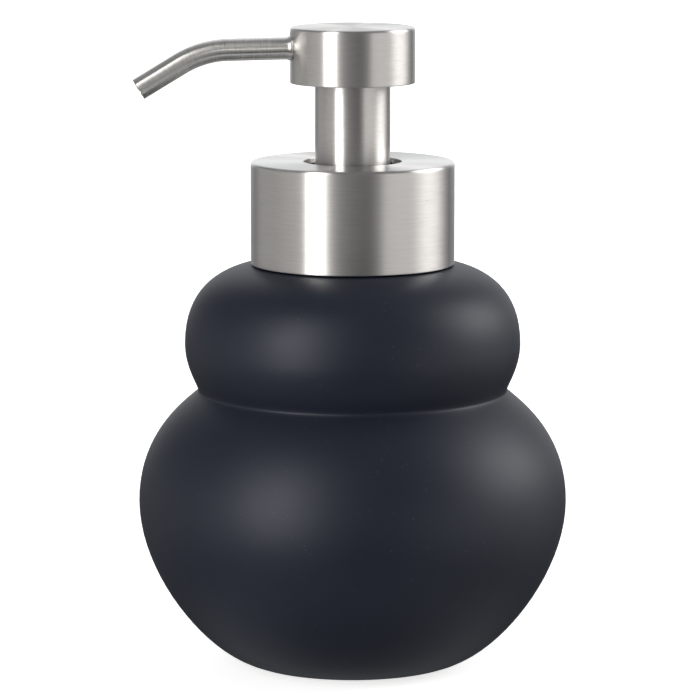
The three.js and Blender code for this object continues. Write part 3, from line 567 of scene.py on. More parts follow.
def ceramic(slot):
    """A matte blue-black glaze over clay."""
    material, tree, shader = new_finish(slot, (0.008, 0.011, 0.023), 0.50, IOR=1.49,
                                        Specular_Tint=(0.88, 0.90, 1.0, 1))
    place = add(tree, "TexCoord").outputs["Object"]
    cloud = noise(tree, place, 45.0, 4.0)
    ripple = noise(tree, place, 260.0, 2.0)
    grain = noise(tree, place, 2600.0, 2.0)
    pits = add(tree, "TexVoronoi", {"Vector": place, "Scale": 420.0}).outputs["Distance"]
    pit = ramp(tree, pits, [(0.04, 0.0), (0.08, 1.0)])
    glaze = blend_colors(tree, cloud, (0.0060, 0.0092, 0.0195, 1), (0.0095, 0.0135, 0.0265, 1))
    speckled = blend_colors(tree, pit, (0.055, 0.058, 0.064, 1), glaze)
    height = add(tree, "SeparateXYZ", {0: place}).outputs[2]
    bare = ramp(tree, maths(tree, "MULTIPLY", height, 200.0), [(0.14, 1.0), (0.20, 0.0)])
    clay = blend_colors(tree, grain, (0.055, 0.046, 0.038, 1), (0.10, 0.085, 0.07, 1))
    fill(tree, shader.inputs["Base Color"], blend_colors(tree, bare, speckled, clay))
    sheen = spread(tree, cloud, 0.47, 0.53)
    rough = maths(tree, "ADD", sheen, maths(tree, "MULTIPLY", bare, 0.3))
    fill(tree, shader.inputs["Roughness"], rough)
    surface_height = maths(tree, "ADD", maths(tree, "MULTIPLY", ripple, 0.8),
                           maths(tree, "MULTIPLY", grain, 0.06))
    bump(tree, shader, surface_height, RIPPLE_DEPTH)
    return material


FINISHES["matte_ceramic"] = ceramic("matte_ceramic")
print("the glaze has", len(FINISHES["matte_ceramic"].node_tree.nodes), "nodes")

# %% [markdown]
# The plastics are moulded. Their skin copies the steel of the mould, so it carries a fine
# spark-eroded grain, and a clear or milky plastic also lets light into its thickness. Rubber and
# silicone are duller and softer. One function makes them all, from a colour, a sheen, the grain's
# size and how much light goes through.

# %% Moulded plastics and rubber
def moulded(slot, color, roughness, grain_size, depth, **sockets):
    """A moulded surface whose grain is grain_size and depth in millimetres."""
    material, tree, shader = new_finish(slot, color, roughness, **sockets)
    place = add(tree, "TexCoord").outputs["Object"]
    grain = noise(tree, place, 1 / (grain_size * MM), 3.0, 0.6)
    flow = noise(tree, place, 90.0, 3.0)
    light = tuple(min(1.0, 1.1 * c) for c in color)
    dark = tuple(0.9 * c for c in color)
    fill(tree, shader.inputs["Base Color"], blend_colors(tree, flow, (*dark, 1), (*light, 1)))
    fill(tree, shader.inputs["Roughness"], spread(tree, grain, roughness - 0.06, roughness + 0.06))
    bump(tree, shader, grain, depth * MM)
    return material


FINISHES.update({
    "black_plastic": moulded("black_plastic", (0.012, 0.012, 0.013), 0.42, 0.25, 0.012),
    "pad_rubber": moulded("pad_rubber", (0.03, 0.03, 0.032), 0.82, 0.4, 0.05),
    "clear_silicone": moulded("clear_silicone", (0.72, 0.74, 0.75), 0.5, 0.5, 0.01,
                              Transmission_Weight=0.35, IOR=1.41),
    "natural_plastic": moulded("natural_plastic", (0.80, 0.82, 0.82), 0.28, 0.6, 0.006,
                               Transmission_Weight=0.55, IOR=1.49),
    "white_plastic": moulded("white_plastic", (0.82, 0.81, 0.78), 0.32, 0.5, 0.006,
                             Subsurface_Weight=0.15, Subsurface_Scale=0.001),
    "mesh_nylon": moulded("mesh_nylon", (0.80, 0.80, 0.78), 0.45, 0.05, 0.004,
                          Sheen_Weight=0.2),
})
print("finishes so far:", sorted(FINISHES))

# %% [markdown]
# The balls and the spring are bright drawn steel. Drawing leaves long faint lines and polishing
# leaves a soft haze, so the reflection is sharp but never a perfect mirror.

# %% Polished steel
HAZE_DEPTH = 0.000004


def polished(slot):
    """Bright steel with a faint haze in its polish."""
    material, tree, shader = new_finish(slot, (0.66, 0.66, 0.66), 0.12, Metallic=1.0)
    place = add(tree, "TexCoord").outputs["Object"]
    haze = noise(tree, place, 700.0, 3.0)
    fill(tree, shader.inputs["Base Color"],
         blend_colors(tree, haze, (0.58, 0.58, 0.59, 1), (0.72, 0.72, 0.72, 1)))
    fill(tree, shader.inputs["Roughness"], spread(tree, haze, 0.07, 0.2))
    bump(tree, shader, haze, HAZE_DEPTH)
    return material


FINISHES["polished_steel"] = polished("polished_steel")
print(len(FINISHES), "finishes")

# %% [markdown]
# A finished piece gets its material from the record's slot for the solid that it replaces, and
# rides on that solid's body. One function does it for every piece.

# %% Put a finished piece in its place
def fit(piece, node):
    """Gives the piece its finish and body, hides the solid and prints the piece's measures."""
    piece.data.materials.clear()
    piece.data.materials.append(FINISHES[SLOT_OF[node]])
    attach(piece, BODY_OF[node])
    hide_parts(node)
    corners = np.empty(3 * len(piece.data.vertices))
    piece.data.vertices.foreach_get("co", corners)
    corners = corners.reshape(-1, 3)
    off = np.abs(np.array([corners.min(0), corners.max(0)]) - np.array(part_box(node))).max() / MM
    whole = bmesh.new()
    whole.from_mesh(piece.data)
    gaps = sum(not edge.is_manifold for edge in whole.edges)
    volume = whole.calc_volume(signed=True) / MM**3 / 1000
    whole.free()
    print(f"{piece.name}: {len(piece.data.polygons)} faces, {gaps} open edges, "
          f"{volume:.3f} cm3, box within {off:.2f} mm")
    return piece


without_finish = set(SLOT_OF.values()) - set(FINISHES)
print(len(SLOT_OF), "pieces to fit; slots without a finish:", without_finish)

# %% [markdown]
# ## Floor
# The floor is a wide pale disc. It is slightly luminous, as a sweep of white card is in a studio,
# so the object's shadow stays soft and light. It is left out of the reflections, because the
# painted studio already holds what should be seen in the steel.

# %% Lay the floor
FLOOR_R = 12000.0
FLOOR_T = 5.0
CARD_GLOW = 0.74
floor = turned("floor", [[0, -FLOOR_T], [FLOOR_R, -FLOOR_T], [FLOOR_R, 0], [0, 0]], 64)
card, tree, shader = new_finish("floor_card", (0.82, 0.82, 0.82), 0.9)
paper = noise(tree, add(tree, "TexCoord").outputs["Object"], 60.0, 3.0)
fill(tree, shader.inputs["Base Color"],
     blend_colors(tree, paper, (0.80, 0.80, 0.80, 1), (0.84, 0.84, 0.84, 1)))
shader.inputs["Emission Color"].default_value = (1, 1, 1, 1)
shader.inputs["Emission Strength"].default_value = CARD_GLOW
floor.data.materials.append(card)
floor.visible_glossy = False
floor.visible_diffuse = False
print(f"floor: a disc {2 * FLOOR_R * MM:.0f} m wide")

# %% [markdown]
# ## Bottle
# A potter or a slip-cast mould makes the bottle in one piece. Its side is four smooth curves:
# foot to belly, belly to crease, crease to shoulder, and shoulder to rim. The curves share their
# direction where they meet, so the crease is a tight valley and not a cut. The inside follows
# the same line one wall thickness in, and the bottom has a shallow recess for the rubber pad.

# %% Model the bottle
FOOT_R = 25.2
BELLY_Z = 42.2
CREASE = (39.65, 70.9)
SHOULDER = (43.0, 83.0)
RIM_R = 22.1
MOUTH_R = 19.6
WALL = 4.2
PAD_T = 2.0
RECESS_R = 22.2
FOOT_HANDLE_R = 35.7  # where the side's curve leaves the flat foot for the belly
RIM_HANDLE_R = 27.2  # where it turns in towards the flat rim
CREASE_INSIDE_R = 36.5
RECESS_EDGE_R = 0.4
MOUTH_EDGE_R = 0.7
SIDE_STEPS = 22


def side_curves(foot, belly, crease, shoulder, rim, handles, steps):
    """The side as four cubic curves; handles holds one pair of points for each curve."""
    stations = [foot, belly, crease, shoulder, rim]
    runs = [
        curve(stations[i], *handles[i], stations[i + 1], steps)[:-1]
        for i in range(4)
    ]
    return np.concatenate([*runs, [rim]])


outside = side_curves(
    (FOOT_R, foot_z), (belly_r, BELLY_Z), CREASE, SHOULDER, (RIM_R, bottle_top),
    [
        ((FOOT_HANDLE_R, foot_z), (belly_r, 22.2)),
        ((belly_r, 62.0), (CREASE[0], 69.4)),
        ((CREASE[0], 72.4), (SHOULDER[0], 76.7)),
        ((SHOULDER[0], 101.7), (RIM_HANDLE_R, bottle_top)),
    ],
    SIDE_STEPS,
)
floor_z = PAD_T + WALL
inside = side_curves(
    (FOOT_R, floor_z), (belly_r - WALL, BELLY_Z), (CREASE_INSIDE_R, CREASE[1]),
    (SHOULDER[0] - WALL, SHOULDER[1]), (RIM_R, bottle_top - WALL),
    [
        ((FOOT_HANDLE_R, floor_z), (belly_r - WALL, 25.56)),
        ((belly_r - WALL, 57.8), (CREASE_INSIDE_R, 65.2)),
        ((CREASE_INSIDE_R, 76.6), (SHOULDER[0] - WALL, 76.7)),
        ((SHOULDER[0] - WALL, 97.5), (RIM_HANDLE_R, bottle_top - WALL)),
    ],
    SIDE_STEPS // 2,
)[::-1]
recess = [[0, PAD_T], [RECESS_R, PAD_T], [RECESS_R, foot_z]]
mouth = [[MOUTH_R, bottle_top], [MOUTH_R, bottle_top - WALL]]
bottle_section = np.concatenate([recess, outside, mouth, inside, [[0, floor_z]]])
corner_radius = np.zeros(len(bottle_section))
corner_radius[1:3] = RECESS_EDGE_R
mouth_at = len(recess) + len(outside)
corner_radius[mouth_at:mouth_at + 2] = MOUTH_EDGE_R
bottle = turned("ceramic_bottle", rounded(bottle_section, corner_radius), 160)
fit(bottle, "bottle")

# %% [markdown]
# The pad is a rubber disc glued in the recess. It stands a fraction of a millimetre below the
# foot ring, so the ceramic never scrapes the counter. Moulded ridges give it grip.

# %% Model the foot pad
pad_r, pad_low, pad_top = reach("base_pad")
RIDGES = (6.0, 10.0, 14.0, 18.0)
RIDGE_W = 0.6
RIDGE_DEPTH = 0.25
underside = [
    point
    for r in RIDGES
    for point in ([r - RIDGE_W, pad_low], [r, pad_low + RIDGE_DEPTH], [r + RIDGE_W, pad_low])
]
pad_section = [[0, pad_low], *underside, [pad_r, pad_low], [pad_r, pad_top], [0, pad_top]]
fit(turned("foot_pad", rounded(pad_section, 0.2)), "base_pad")

# %% [markdown]
# ## Neck and closure
# Ceramic can't hold a fine thread, so a plastic neck is bonded into the mouth and the closure
# screws onto it. A thread is a ridge that climbs as it goes round. Its height above the wall
# depends only on how far a point is from the climbing line, so it is added to the turned surface
# as a swell, a function of the angle and the height. The closure has the same ridge, inwards.

# %% The screw thread as a swell of the radius
LEAD = 25.4 / 6  # six turns to the inch
THREAD_TURNS = 1.5
THREAD_DEPTH = 0.9
THREAD_START = 2.2  # above the neck's flange
ROOT_W = 1.7
CREST_W = 0.8
RUN_OUT = 0.08  # of a turn, where the ridge fades in and out


def thread(wall_r, start, outward):
    """A swell for points on the wall: depth times how far into the ridge's slope a point is,
    which goes from 0 at half the root's width to 1 at half the crest's width."""
    def swell(angle, radius, height):
        share = angle / (2 * np.pi)
        turns = share + np.round((height - start) / LEAD - share)
        away = np.abs(height - start - LEAD * turns)
        slope = np.clip((ROOT_W / 2 - away) / ((ROOT_W - CREST_W) / 2), 0, 1)
        fade_in = np.clip(turns / RUN_OUT, 0, 1)
        fade_out = np.clip((THREAD_TURNS - turns) / RUN_OUT, 0, 1)
        rise = slope**2 * (3 - 2 * slope) * fade_in * fade_out
        on_wall = np.abs(radius - wall_r) < 1e-6
        return outward * THREAD_DEPTH * rise * on_wall
    return swell


def with_fine_wall(section, wall_r, low_z, high_z, step=0.16):
    """The section with close rows on the wall between two heights, to carry the thread."""
    on_wall = np.abs(section[:, 0] - wall_r) < 1e-6
    between = on_wall & np.roll(on_wall, -1)
    sides = np.roll(section, -1, 0)
    long_side = between & (np.abs(sides[:, 1] - section[:, 1]) > 3)
    at = int(np.flatnonzero(long_side & (np.minimum(section[:, 1], sides[:, 1]) < low_z + 1))[-1])
    count = int(abs(high_z - low_z) / step)
    heights = np.linspace(section[at, 1], sides[at, 1], count + 2)[1:-1]
    rows = np.stack([np.full(count, wall_r), heights], 1)
    return np.concatenate([section[:at + 1], rows, section[at + 1:]])


print(f"thread: {THREAD_TURNS} turns, {LEAD:.2f} mm to a turn, {THREAD_DEPTH} mm deep")

# %% [markdown]
# The neck is moulded in plastic: a sleeve glued into the mouth, a flange on the rim and the
# threaded wall above it. The wall gets closely spaced rows so that the thread stays smooth.

# %% Model the threaded neck
NECK_WALL_R = 19.4
NECK_BORE_R = 17.2
FLANGE_T = 1.8
NECK_CHAMFER = 1.0
flange_r, neck_low, neck_top = reach("neck_insert")
flange_top = bottle_top + FLANGE_T
neck_section = rounded([
    [NECK_BORE_R, neck_low], [NECK_WALL_R - NECK_CHAMFER, neck_low],
    [NECK_WALL_R, neck_low + NECK_CHAMFER],
    [NECK_WALL_R, bottle_top], [flange_r, bottle_top], [flange_r, flange_top],
    [NECK_WALL_R, flange_top], [NECK_WALL_R, neck_top], [NECK_BORE_R, neck_top],
], 0.25)
neck_section = with_fine_wall(neck_section, NECK_WALL_R, flange_top, neck_top)
neck_thread = thread(NECK_WALL_R, flange_top + THREAD_START, 1)
fit(turned("threaded_neck", neck_section, 144, neck_thread), "neck_insert")

# %% [markdown]
# The sealing ring is cut from a soft tube. It sits under the pump's flange, is squeezed flat
# against the neck when the closure is tight, and comes out with the pump.

# %% Model the sealing ring
gasket_r, gasket_low, gasket_top = reach("bottle_gasket")
GASKET_BORE_R = 15.3
fit(turned("sealing_ring", ring_section(GASKET_BORE_R, gasket_r, gasket_low, gasket_top, 0.3)),
    "bottle_gasket")

# %% [markdown]
# The closure is moulded around the pump's flange: a skirt with the thread, a deck that presses
# the flange down, a chimney that guides the stem, and an upper ring that carries the steel skin.
# The skin is drawn from sheet, so its edge is a small even round and not a corner, and the hole
# in its top has a lip that is turned down. The lip leaves a dark gap round the stem.

# %% Model the closure
closure_r, closure_low, closure_top = reach("closure")
CLOSURE_BORE_R = 21.45
CHIMNEY_R = 12.1
CHIMNEY_BORE_R = 9.9
DECK = (121.3, 123.3)
CHIMNEY = (118.5, 126.3)
RIM_BORE_R = 22.4
closure_section = rounded([
    [CLOSURE_BORE_R, closure_low], [closure_r, closure_low], [closure_r, closure_top],
    [RIM_BORE_R, closure_top], [RIM_BORE_R, DECK[1]], [CHIMNEY_R, DECK[1]],
    [CHIMNEY_R, CHIMNEY[1]], [CHIMNEY_BORE_R, CHIMNEY[1]], [CHIMNEY_BORE_R, CHIMNEY[0]],
    [CHIMNEY_R, CHIMNEY[0]], [CHIMNEY_R, DECK[0]], [CLOSURE_BORE_R, DECK[0]],
], 0.25)
closure_section = with_fine_wall(closure_section, CLOSURE_BORE_R, closure_low, DECK[0])
closure_thread = thread(CLOSURE_BORE_R, flange_top + THREAD_START + LEAD / 2, -1)
fit(turned("screw_closure", closure_section, 144, closure_thread), "closure")

# %% [markdown]
# The skin hides the plastic closure. Its top corner has a radius of about a millimetre, where
# the sheet was drawn over a punch, and its long sides are split so that the shading stays even.

# %% Model the collar's steel skin
collar_r, collar_low, collar_top = reach("collar_shell")
COLLAR_T = 0.8
COLLAR_HOLE_R = 12.55
COLLAR_LIP_H = 1.3
collar_corners = [
    [collar_r - COLLAR_T, collar_low], [collar_r, collar_low], [collar_r, collar_top],
    [COLLAR_HOLE_R, collar_top], [COLLAR_HOLE_R, collar_top - COLLAR_LIP_H],
    [COLLAR_HOLE_R + COLLAR_T, collar_top - COLLAR_LIP_H],
    [COLLAR_HOLE_R + COLLAR_T, collar_top - COLLAR_T],
    [collar_r - COLLAR_T, collar_top - COLLAR_T],
]
collar_section = rounded(collar_corners, [0.12, 0.25, 0.95, 0.15, 0.1, 0.1, 0.15, 0.15], 6)
fit(turned("collar_skin", split_long(collar_section, 2.0), 160), "collar_shell")

# %% [markdown]
# ## Pump housing
# Inside the bottle hangs the housing: a wide air cylinder above a narrow liquid cylinder, and at
# the foot a seat for the inlet ball and a socket for the dip tube. It is one moulding in natural
# plastic, through which the spring can be made out. A small vent lets air into the bottle.

# %% Model the pump housing
flange_out, _, housing_top = reach("pump_cylinder")
AIR_R = (13.2, 14.5)  # bore and outside
LIQUID_R = (5.0, 6.3)
AIR_FLOOR = (91.2, 92.7)
SPRING_SEAT = 52.2
SEAT_R = 2.0  # of the hole that the spring's seat leaves for the soap
SEAT_T = 0.8
BALL_CHAMBER_R = 3.0
BALL_SEAT = 45.7
BALL_HOLE_R = 1.8
SOCKET_R = (3.1, 4.4)
FOOT_SLOPE = 2.0  # height of the cone from the socket to the liquid cylinder
FLANGE_LOW = 119.7
SOCKET = (34.2, 44.2)
housing_corners = [
    [flange_out, FLANGE_LOW], [flange_out, housing_top], [AIR_R[0], housing_top],
    [AIR_R[0], AIR_FLOOR[1]], [LIQUID_R[0], AIR_FLOOR[1]], [LIQUID_R[0], SPRING_SEAT],
    [SEAT_R, SPRING_SEAT], [SEAT_R, SPRING_SEAT - SEAT_T],
    [BALL_CHAMBER_R, SPRING_SEAT - SEAT_T], [BALL_CHAMBER_R, BALL_SEAT],
    [BALL_HOLE_R, BALL_SEAT], [BALL_HOLE_R, SOCKET[1]], [SOCKET_R[0], SOCKET[1]],
    [SOCKET_R[0], SOCKET[0]], [SOCKET_R[1], SOCKET[0]], [SOCKET_R[1], BALL_SEAT],
    [LIQUID_R[1], BALL_SEAT + FOOT_SLOPE],
    [LIQUID_R[1], AIR_FLOOR[0]], [AIR_R[1], AIR_FLOOR[0]], [AIR_R[1], FLANGE_LOW],
]
housing = turned("pump_housing", rounded(housing_corners, 0.25), 96)
VENT_R = 0.6
VENT_DEPTH = 5.0  # below the flange
PAST = 2.0  # how far the drill starts before the wall and ends beyond it
vent_z = FLANGE_LOW - VENT_DEPTH
vent = drill(VENT_R, (AIR_R[0] - PAST, 0, vent_z), (AIR_R[1] + PAST, 0, vent_z))
housing = drilled(housing, [vent])
fit(housing, "pump_cylinder")

# %% [markdown]
# The dip tube is cut from extruded pipe. Its lower end is cut on a slant, so that it can't close
# itself against the bottle's floor. The slant is a simple shift of height that grows across the
# tube, applied only to the lowest stretch.

# %% Model the dip tube
tube_r, tube_low, tube_top = reach("dip_tube")
TUBE_WALL = 0.7
SLANT = math.tan(math.radians(35))
SLANT_STRETCH = 12.0  # length of tube that the slant is spread over


def slanted(points):
    """Raises each point by the slant times its distance from the tube's -X side, and less the
    nearer it is to the stretch's upper end."""
    height = points[..., 2] / MM
    share = np.clip(1 - (height - tube_low) / SLANT_STRETCH, 0, 1)
    lift = (points[..., 0] / MM + tube_r) * SLANT * share
    points[..., 2] = (height + lift) * MM
    return points


tube_section = split_long(ring_section(tube_r - TUBE_WALL, tube_r, tube_low, tube_top, 0.12), 1.5)
tube_points, tube_along = turned_points(tube_section, 48)
fit(surface("suction_tube", slanted(tube_points), tube_along), "dip_tube")

# %% [markdown]
# The return spring is drawn wire wound on a mandrel. Its two end coils lie nearly flat to give
# the piston a level seat, and the coils between share the rest of the height.

# %% Model the return spring
SPRING_TURNS = 8
WIRE_R = 0.4
SPRING_MEAN_R = 4.2
TURN_STEPS = 40
WIRE_SIDES = 12
END_PITCH = 2.2  # rise of an end coil, in wire radii
_, spring_low, spring_top = reach("return_spring")
wire_low, wire_top = spring_low + WIRE_R, spring_top - WIRE_R
turns = np.linspace(0, SPRING_TURNS, SPRING_TURNS * TURN_STEPS + 1)
flat_rise = END_PITCH * WIRE_R / (wire_top - wire_low)
end_rise = flat_rise * (np.minimum(turns, 1) + np.maximum(turns - SPRING_TURNS + 1, 0))
climb = np.clip((turns - 1) / (SPRING_TURNS - 2), 0, 1) * (1 - 2 * flat_rise)
wire_z = wire_low + (end_rise + climb) * (wire_top - wire_low)
wire_angle = 2 * np.pi * turns


def coil():
    """A ring of points carried along the helix: the ring lies in the plane of the axis and the
    radius. The first and last rings close to a point, so the wire's ends are capped."""
    around = 2 * np.pi * np.arange(WIRE_SIDES) / WIRE_SIDES
    size = np.full(len(turns), WIRE_R)
    shut = np.concatenate([[0], size, [0]])
    where = np.concatenate([[0], np.arange(len(turns)), [len(turns) - 1]]).astype(int)
    radius = SPRING_MEAN_R + shut[:, None] * np.cos(around)
    height = wire_z[where][:, None] - shut[:, None] * np.sin(around)
    angle = wire_angle[where][:, None]
    points = np.stack([radius * np.cos(angle), radius * np.sin(angle), height], -1)
    along = np.concatenate([[0], np.cumsum(np.full(len(where), 0.01))])
    return points * MM, along


spring = surface("pressure_spring", *coil())
fit(spring, "return_spring")
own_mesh(spring)

# %% [markdown]
# Two steel balls are the valves. Each is a half circle turned about the axis, which makes poles
# at the top and bottom where the points merge.

# %% Model the valve balls
def ball(name, node):
    """A sphere as a turned half circle between the solid's lowest and highest points."""
    _, ball_low, ball_top = reach(node)
    middle, radius = (ball_low + ball_top) / 2, (ball_top - ball_low) / 2
    t = np.linspace(-np.pi / 2, np.pi / 2, 25)
    section = np.stack([radius * np.cos(t), middle + radius * np.sin(t)], 1)
    section[[0, -1], 0] = 0
    return fit(turned(name, section, 48), node)


ball("inlet_valve_ball", "inlet_ball")
ball("outlet_valve_ball", "outlet_ball")

# %% [markdown]
# ## Plunger
# The plunger is all that goes down with the head. A hollow rod draws the soap up through its
# seal, a wide piston pumps the air, and a soft valve opens the piston's air ports on the way up.

# %% Model the piston rod and its seal
rod_foot_r, rod_low, rod_top = reach("liquid_piston")
ROD_R = (2.2, 3.6)  # bore and outside
CONE_H = 0.8  # of the cone that holds the seal down
SEAL_GAP = 0.05
seal_r, seal_low, seal_top = reach("liquid_seal")
rod_section = rounded([
    [ROD_R[0], rod_low], [rod_foot_r, rod_low], [rod_foot_r, seal_low], [ROD_R[1], seal_low],
    [ROD_R[1], seal_top], [rod_foot_r, seal_top], [ROD_R[1], seal_top + CONE_H],
    [ROD_R[1], rod_top], [ROD_R[0], rod_top],
], 0.12)
fit(turned("piston_rod", rod_section, 64), "liquid_piston")

seal_bore_r = ROD_R[1] + SEAL_GAP
SEAL_WAIST = 0.4
lip_h = (seal_top - seal_low) / 3
seal_section = rounded([
    [seal_bore_r, seal_low], [seal_r, seal_low], [seal_r - SEAL_WAIST, seal_low + lip_h],
    [seal_r - SEAL_WAIST, seal_top - lip_h], [seal_r, seal_top], [seal_bore_r, seal_top],
], 0.12)
fit(turned("rod_seal", seal_section, 64), "liquid_seal")

# %% [markdown]
# The air piston is one moulding: a hub that grips the rod, a web, a skirt with two thin lips
# that rub on the air cylinder, and a spigot with the outlet ball's seat. Four small ports in the
# web let air in from above, and four in the hub send it to the foam cartridge.

# %% Model the air piston
lip_r, hub_low, hub_top = reach("air_piston")
HUB_R = (3.65, 6.0)  # bore and outside
WEB = (114.7, 115.9)
LIPS = (112.3, 118.3)
LIP_REACH = 0.4  # how far a lip stands out from the skirt
SKIRT_T = 1.2
LIP_T = 0.5
LIP_H = 1.0
SKIRT_R = lip_r - LIP_REACH - SKIRT_T
LIP_BORE_R = lip_r - LIP_T
SHELF = (8.9, 116.9)  # radius and height of the step under the stem
SPIGOT_R = 6.4
CHAMBER_R = 3.4
OUTLET_SEAT = 119.2
OUTLET_HOLE_R = 1.9
piston_corners = [
    [HUB_R[0], hub_low], [HUB_R[1], hub_low], [HUB_R[1], WEB[0]], [SKIRT_R, WEB[0]],
    [LIP_BORE_R, LIPS[0]], [lip_r, LIPS[0]], [lip_r - LIP_REACH, LIPS[0] + LIP_H],
    [lip_r - LIP_REACH, LIPS[1] - LIP_H], [lip_r, LIPS[1]], [LIP_BORE_R, LIPS[1]],
    [SKIRT_R, WEB[1]],
    [SHELF[0], WEB[1]], SHELF, [SPIGOT_R, SHELF[1]], [SPIGOT_R, hub_top],
    [CHAMBER_R, hub_top], [CHAMBER_R, OUTLET_SEAT], [OUTLET_HOLE_R, OUTLET_SEAT],
    [OUTLET_HOLE_R, rod_top], [HUB_R[0], rod_top],
]
PORT_R = 0.6
PORTS = 4
PORT_SIDES = 16
port_turns = [2 * math.pi * (i + 0.5) / PORTS for i in range(PORTS)]
hub_port_r = (CHAMBER_R + SPIGOT_R) / 2
web_port_r = (SHELF[0] + SKIRT_R) / 2
port_drills = [
    drill(PORT_R, (r * math.cos(a), r * math.sin(a), bottom),
          (r * math.cos(a), r * math.sin(a), top), PORT_SIDES)
    for r, bottom, top in ((hub_port_r, hub_low - 1, hub_top + 1),
                           (web_port_r, WEB[0] - 1, WEB[1] + 1))
    for a in port_turns
]
piston = turned("air_piston_body", rounded(piston_corners, 0.12), 96)
fit(drilled(piston, port_drills), "air_piston")

# %% [markdown]
# The air valve is a soft sleeve with a thin flap. The flap rests on the web over its ports: it
# lifts when the piston goes up and air is drawn in, and shuts when the head is pressed.

# %% Model the air valve
flap_r, flap_low, flap_top = reach("air_valve")
VALVE_BORE_R = 6.1
SLEEVE_R = 7.0
COLLAR_H = 0.25  # of the sleeve above the flap
FLAP_T = (0.6, 0.3)  # at the sleeve and at the edge
flap_plane = flap_top - COLLAR_H
flap_corners = [
    [VALVE_BORE_R, flap_low], [SLEEVE_R, flap_low], [SLEEVE_R, flap_plane - FLAP_T[0]],
    [flap_r, flap_plane - FLAP_T[1]], [flap_r, flap_plane], [SLEEVE_R, flap_plane],
    [SLEEVE_R, flap_top], [VALVE_BORE_R, flap_top],
]
fit(turned("air_flap", rounded(flap_corners, 0.1), 96), "air_valve")

# %% [markdown]
# ## Stem and foam cartridge
# The stem is a plastic tube in a thin steel sleeve. Above the outlet ball it holds a cartridge
# with a screen at each end. The screens are what turns soap and air into foam.

# %% Model the stem
stem_r, stem_low, stem_top = reach("stem_core")
STEM_BORE_R = 6.6
UPPER_BORE_R = 4.5
stem_step = reach("upper_mesh")[2]
stem_section = rounded([
    [STEM_BORE_R, stem_low], [stem_r, stem_low], [stem_r, stem_top], [UPPER_BORE_R, stem_top],
    [UPPER_BORE_R, stem_step], [STEM_BORE_R, stem_step],
], 0.2)
fit(turned("stem_tube", stem_section, 96), "stem_core")

sleeve_r, sleeve_low, sleeve_top = reach("stem_sleeve")
SLEEVE_T = 0.6
sleeve_section = ring_section(sleeve_r - SLEEVE_T, sleeve_r, sleeve_low, sleeve_top, 0.15)
fit(turned("stem_skin", split_long(sleeve_section, 2.0), 128), "stem_sleeve")

cartridge_r, cartridge_low, cartridge_top = reach("mesh_cartridge")
CARTRIDGE_BORE_R = 5.2
cartridge_section = ring_section(CARTRIDGE_BORE_R, cartridge_r, cartridge_low, cartridge_top, 0.2)
fit(turned("foam_cartridge", cartridge_section, 72), "mesh_cartridge")

# %% [markdown]
# A screen is really woven: each thread goes over and under the threads that cross it, so its
# height is a wave, and neighbours are half a wave apart. Every thread is a thin tube of six
# sides along that wave, cut to the chord that its place in the round frame allows. All threads
# one way are worked out as a single array.

# %% Weave the two screens
SCREEN_PITCH = 0.55
THREAD_R = 0.065
SCREEN_RIM_W = 0.6
THREAD_STEPS = 61
THREAD_SIDES = 6


def threads(rim_r, middle, crosswise):
    """Points of all threads one way, as [thread, step, corner, xyz]. A thread's height is
    r times cos(pi x / pitch), with its sign swapped from each thread to the next."""
    count = int(rim_r / SCREEN_PITCH)
    places = np.arange(-count, count + 1) * SCREEN_PITCH
    half_chord = np.sqrt(rim_r**2 - places**2)
    x = half_chord[:, None] * np.linspace(-1, 1, THREAD_STEPS)[None, :]
    sign = np.where(np.arange(len(places)) % 2 == 0, 1, -1)[:, None]
    wave = (-1 if crosswise else 1) * sign * THREAD_R * np.cos(np.pi * x / SCREEN_PITCH)
    corner = 2 * np.pi * np.arange(THREAD_SIDES) / THREAD_SIDES
    shut = np.ones(THREAD_STEPS)
    shut[[0, -1]] = 0
    side = places[:, None, None] + shut[None, :, None] * THREAD_R * np.cos(corner)
    height = middle + wave[..., None] + shut[None, :, None] * THREAD_R * np.sin(corner)
    length = np.broadcast_to(x[..., None], side.shape)
    order = (side, length, height) if crosswise else (length, side, height)
    return np.stack(order, -1)


def screen(name, node):
    """A flat ring with the woven threads joined into the same mesh."""
    screen_r, screen_low, screen_top = reach(node)
    inner = screen_r - SCREEN_RIM_W
    rim = turned(name, ring_section(inner, screen_r, screen_low, screen_top, 0.06), 72)
    middle = (screen_low + screen_top) / 2
    woven = [
        surface("thread", strand * MM, np.linspace(0, 0.1, len(strand) + 1))
        for crosswise in (False, True)
        for strand in threads(inner + SCREEN_RIM_W / 3, middle, crosswise)
    ]
    with bpy.context.temp_override(active_object=rim, selected_editable_objects=[rim, *woven]):
        bpy.ops.object.join()
    whole = bmesh.new()
    whole.from_mesh(rim.data)
    bmesh.ops.recalc_face_normals(whole, faces=whole.faces)
    whole.to_mesh(rim.data)
    whole.free()
    return fit(rim, node)


screen("lower_screen", "lower_mesh")
screen("upper_screen", "upper_mesh")

# %% [markdown]
# ## Spout
# The spout is a thin steel tube bent on a former. Its centre line is a straight run, one bend
# and a straight tip. The line is found by adding up small steps in the direction the tube heads,
# which only changes along the bend. A straight tube is then made as a turned piece, with its
# length along Z, and each of its points is carried to the same distance along the line. Where
# the tube enters the head, a low ring of weld bead swells it.

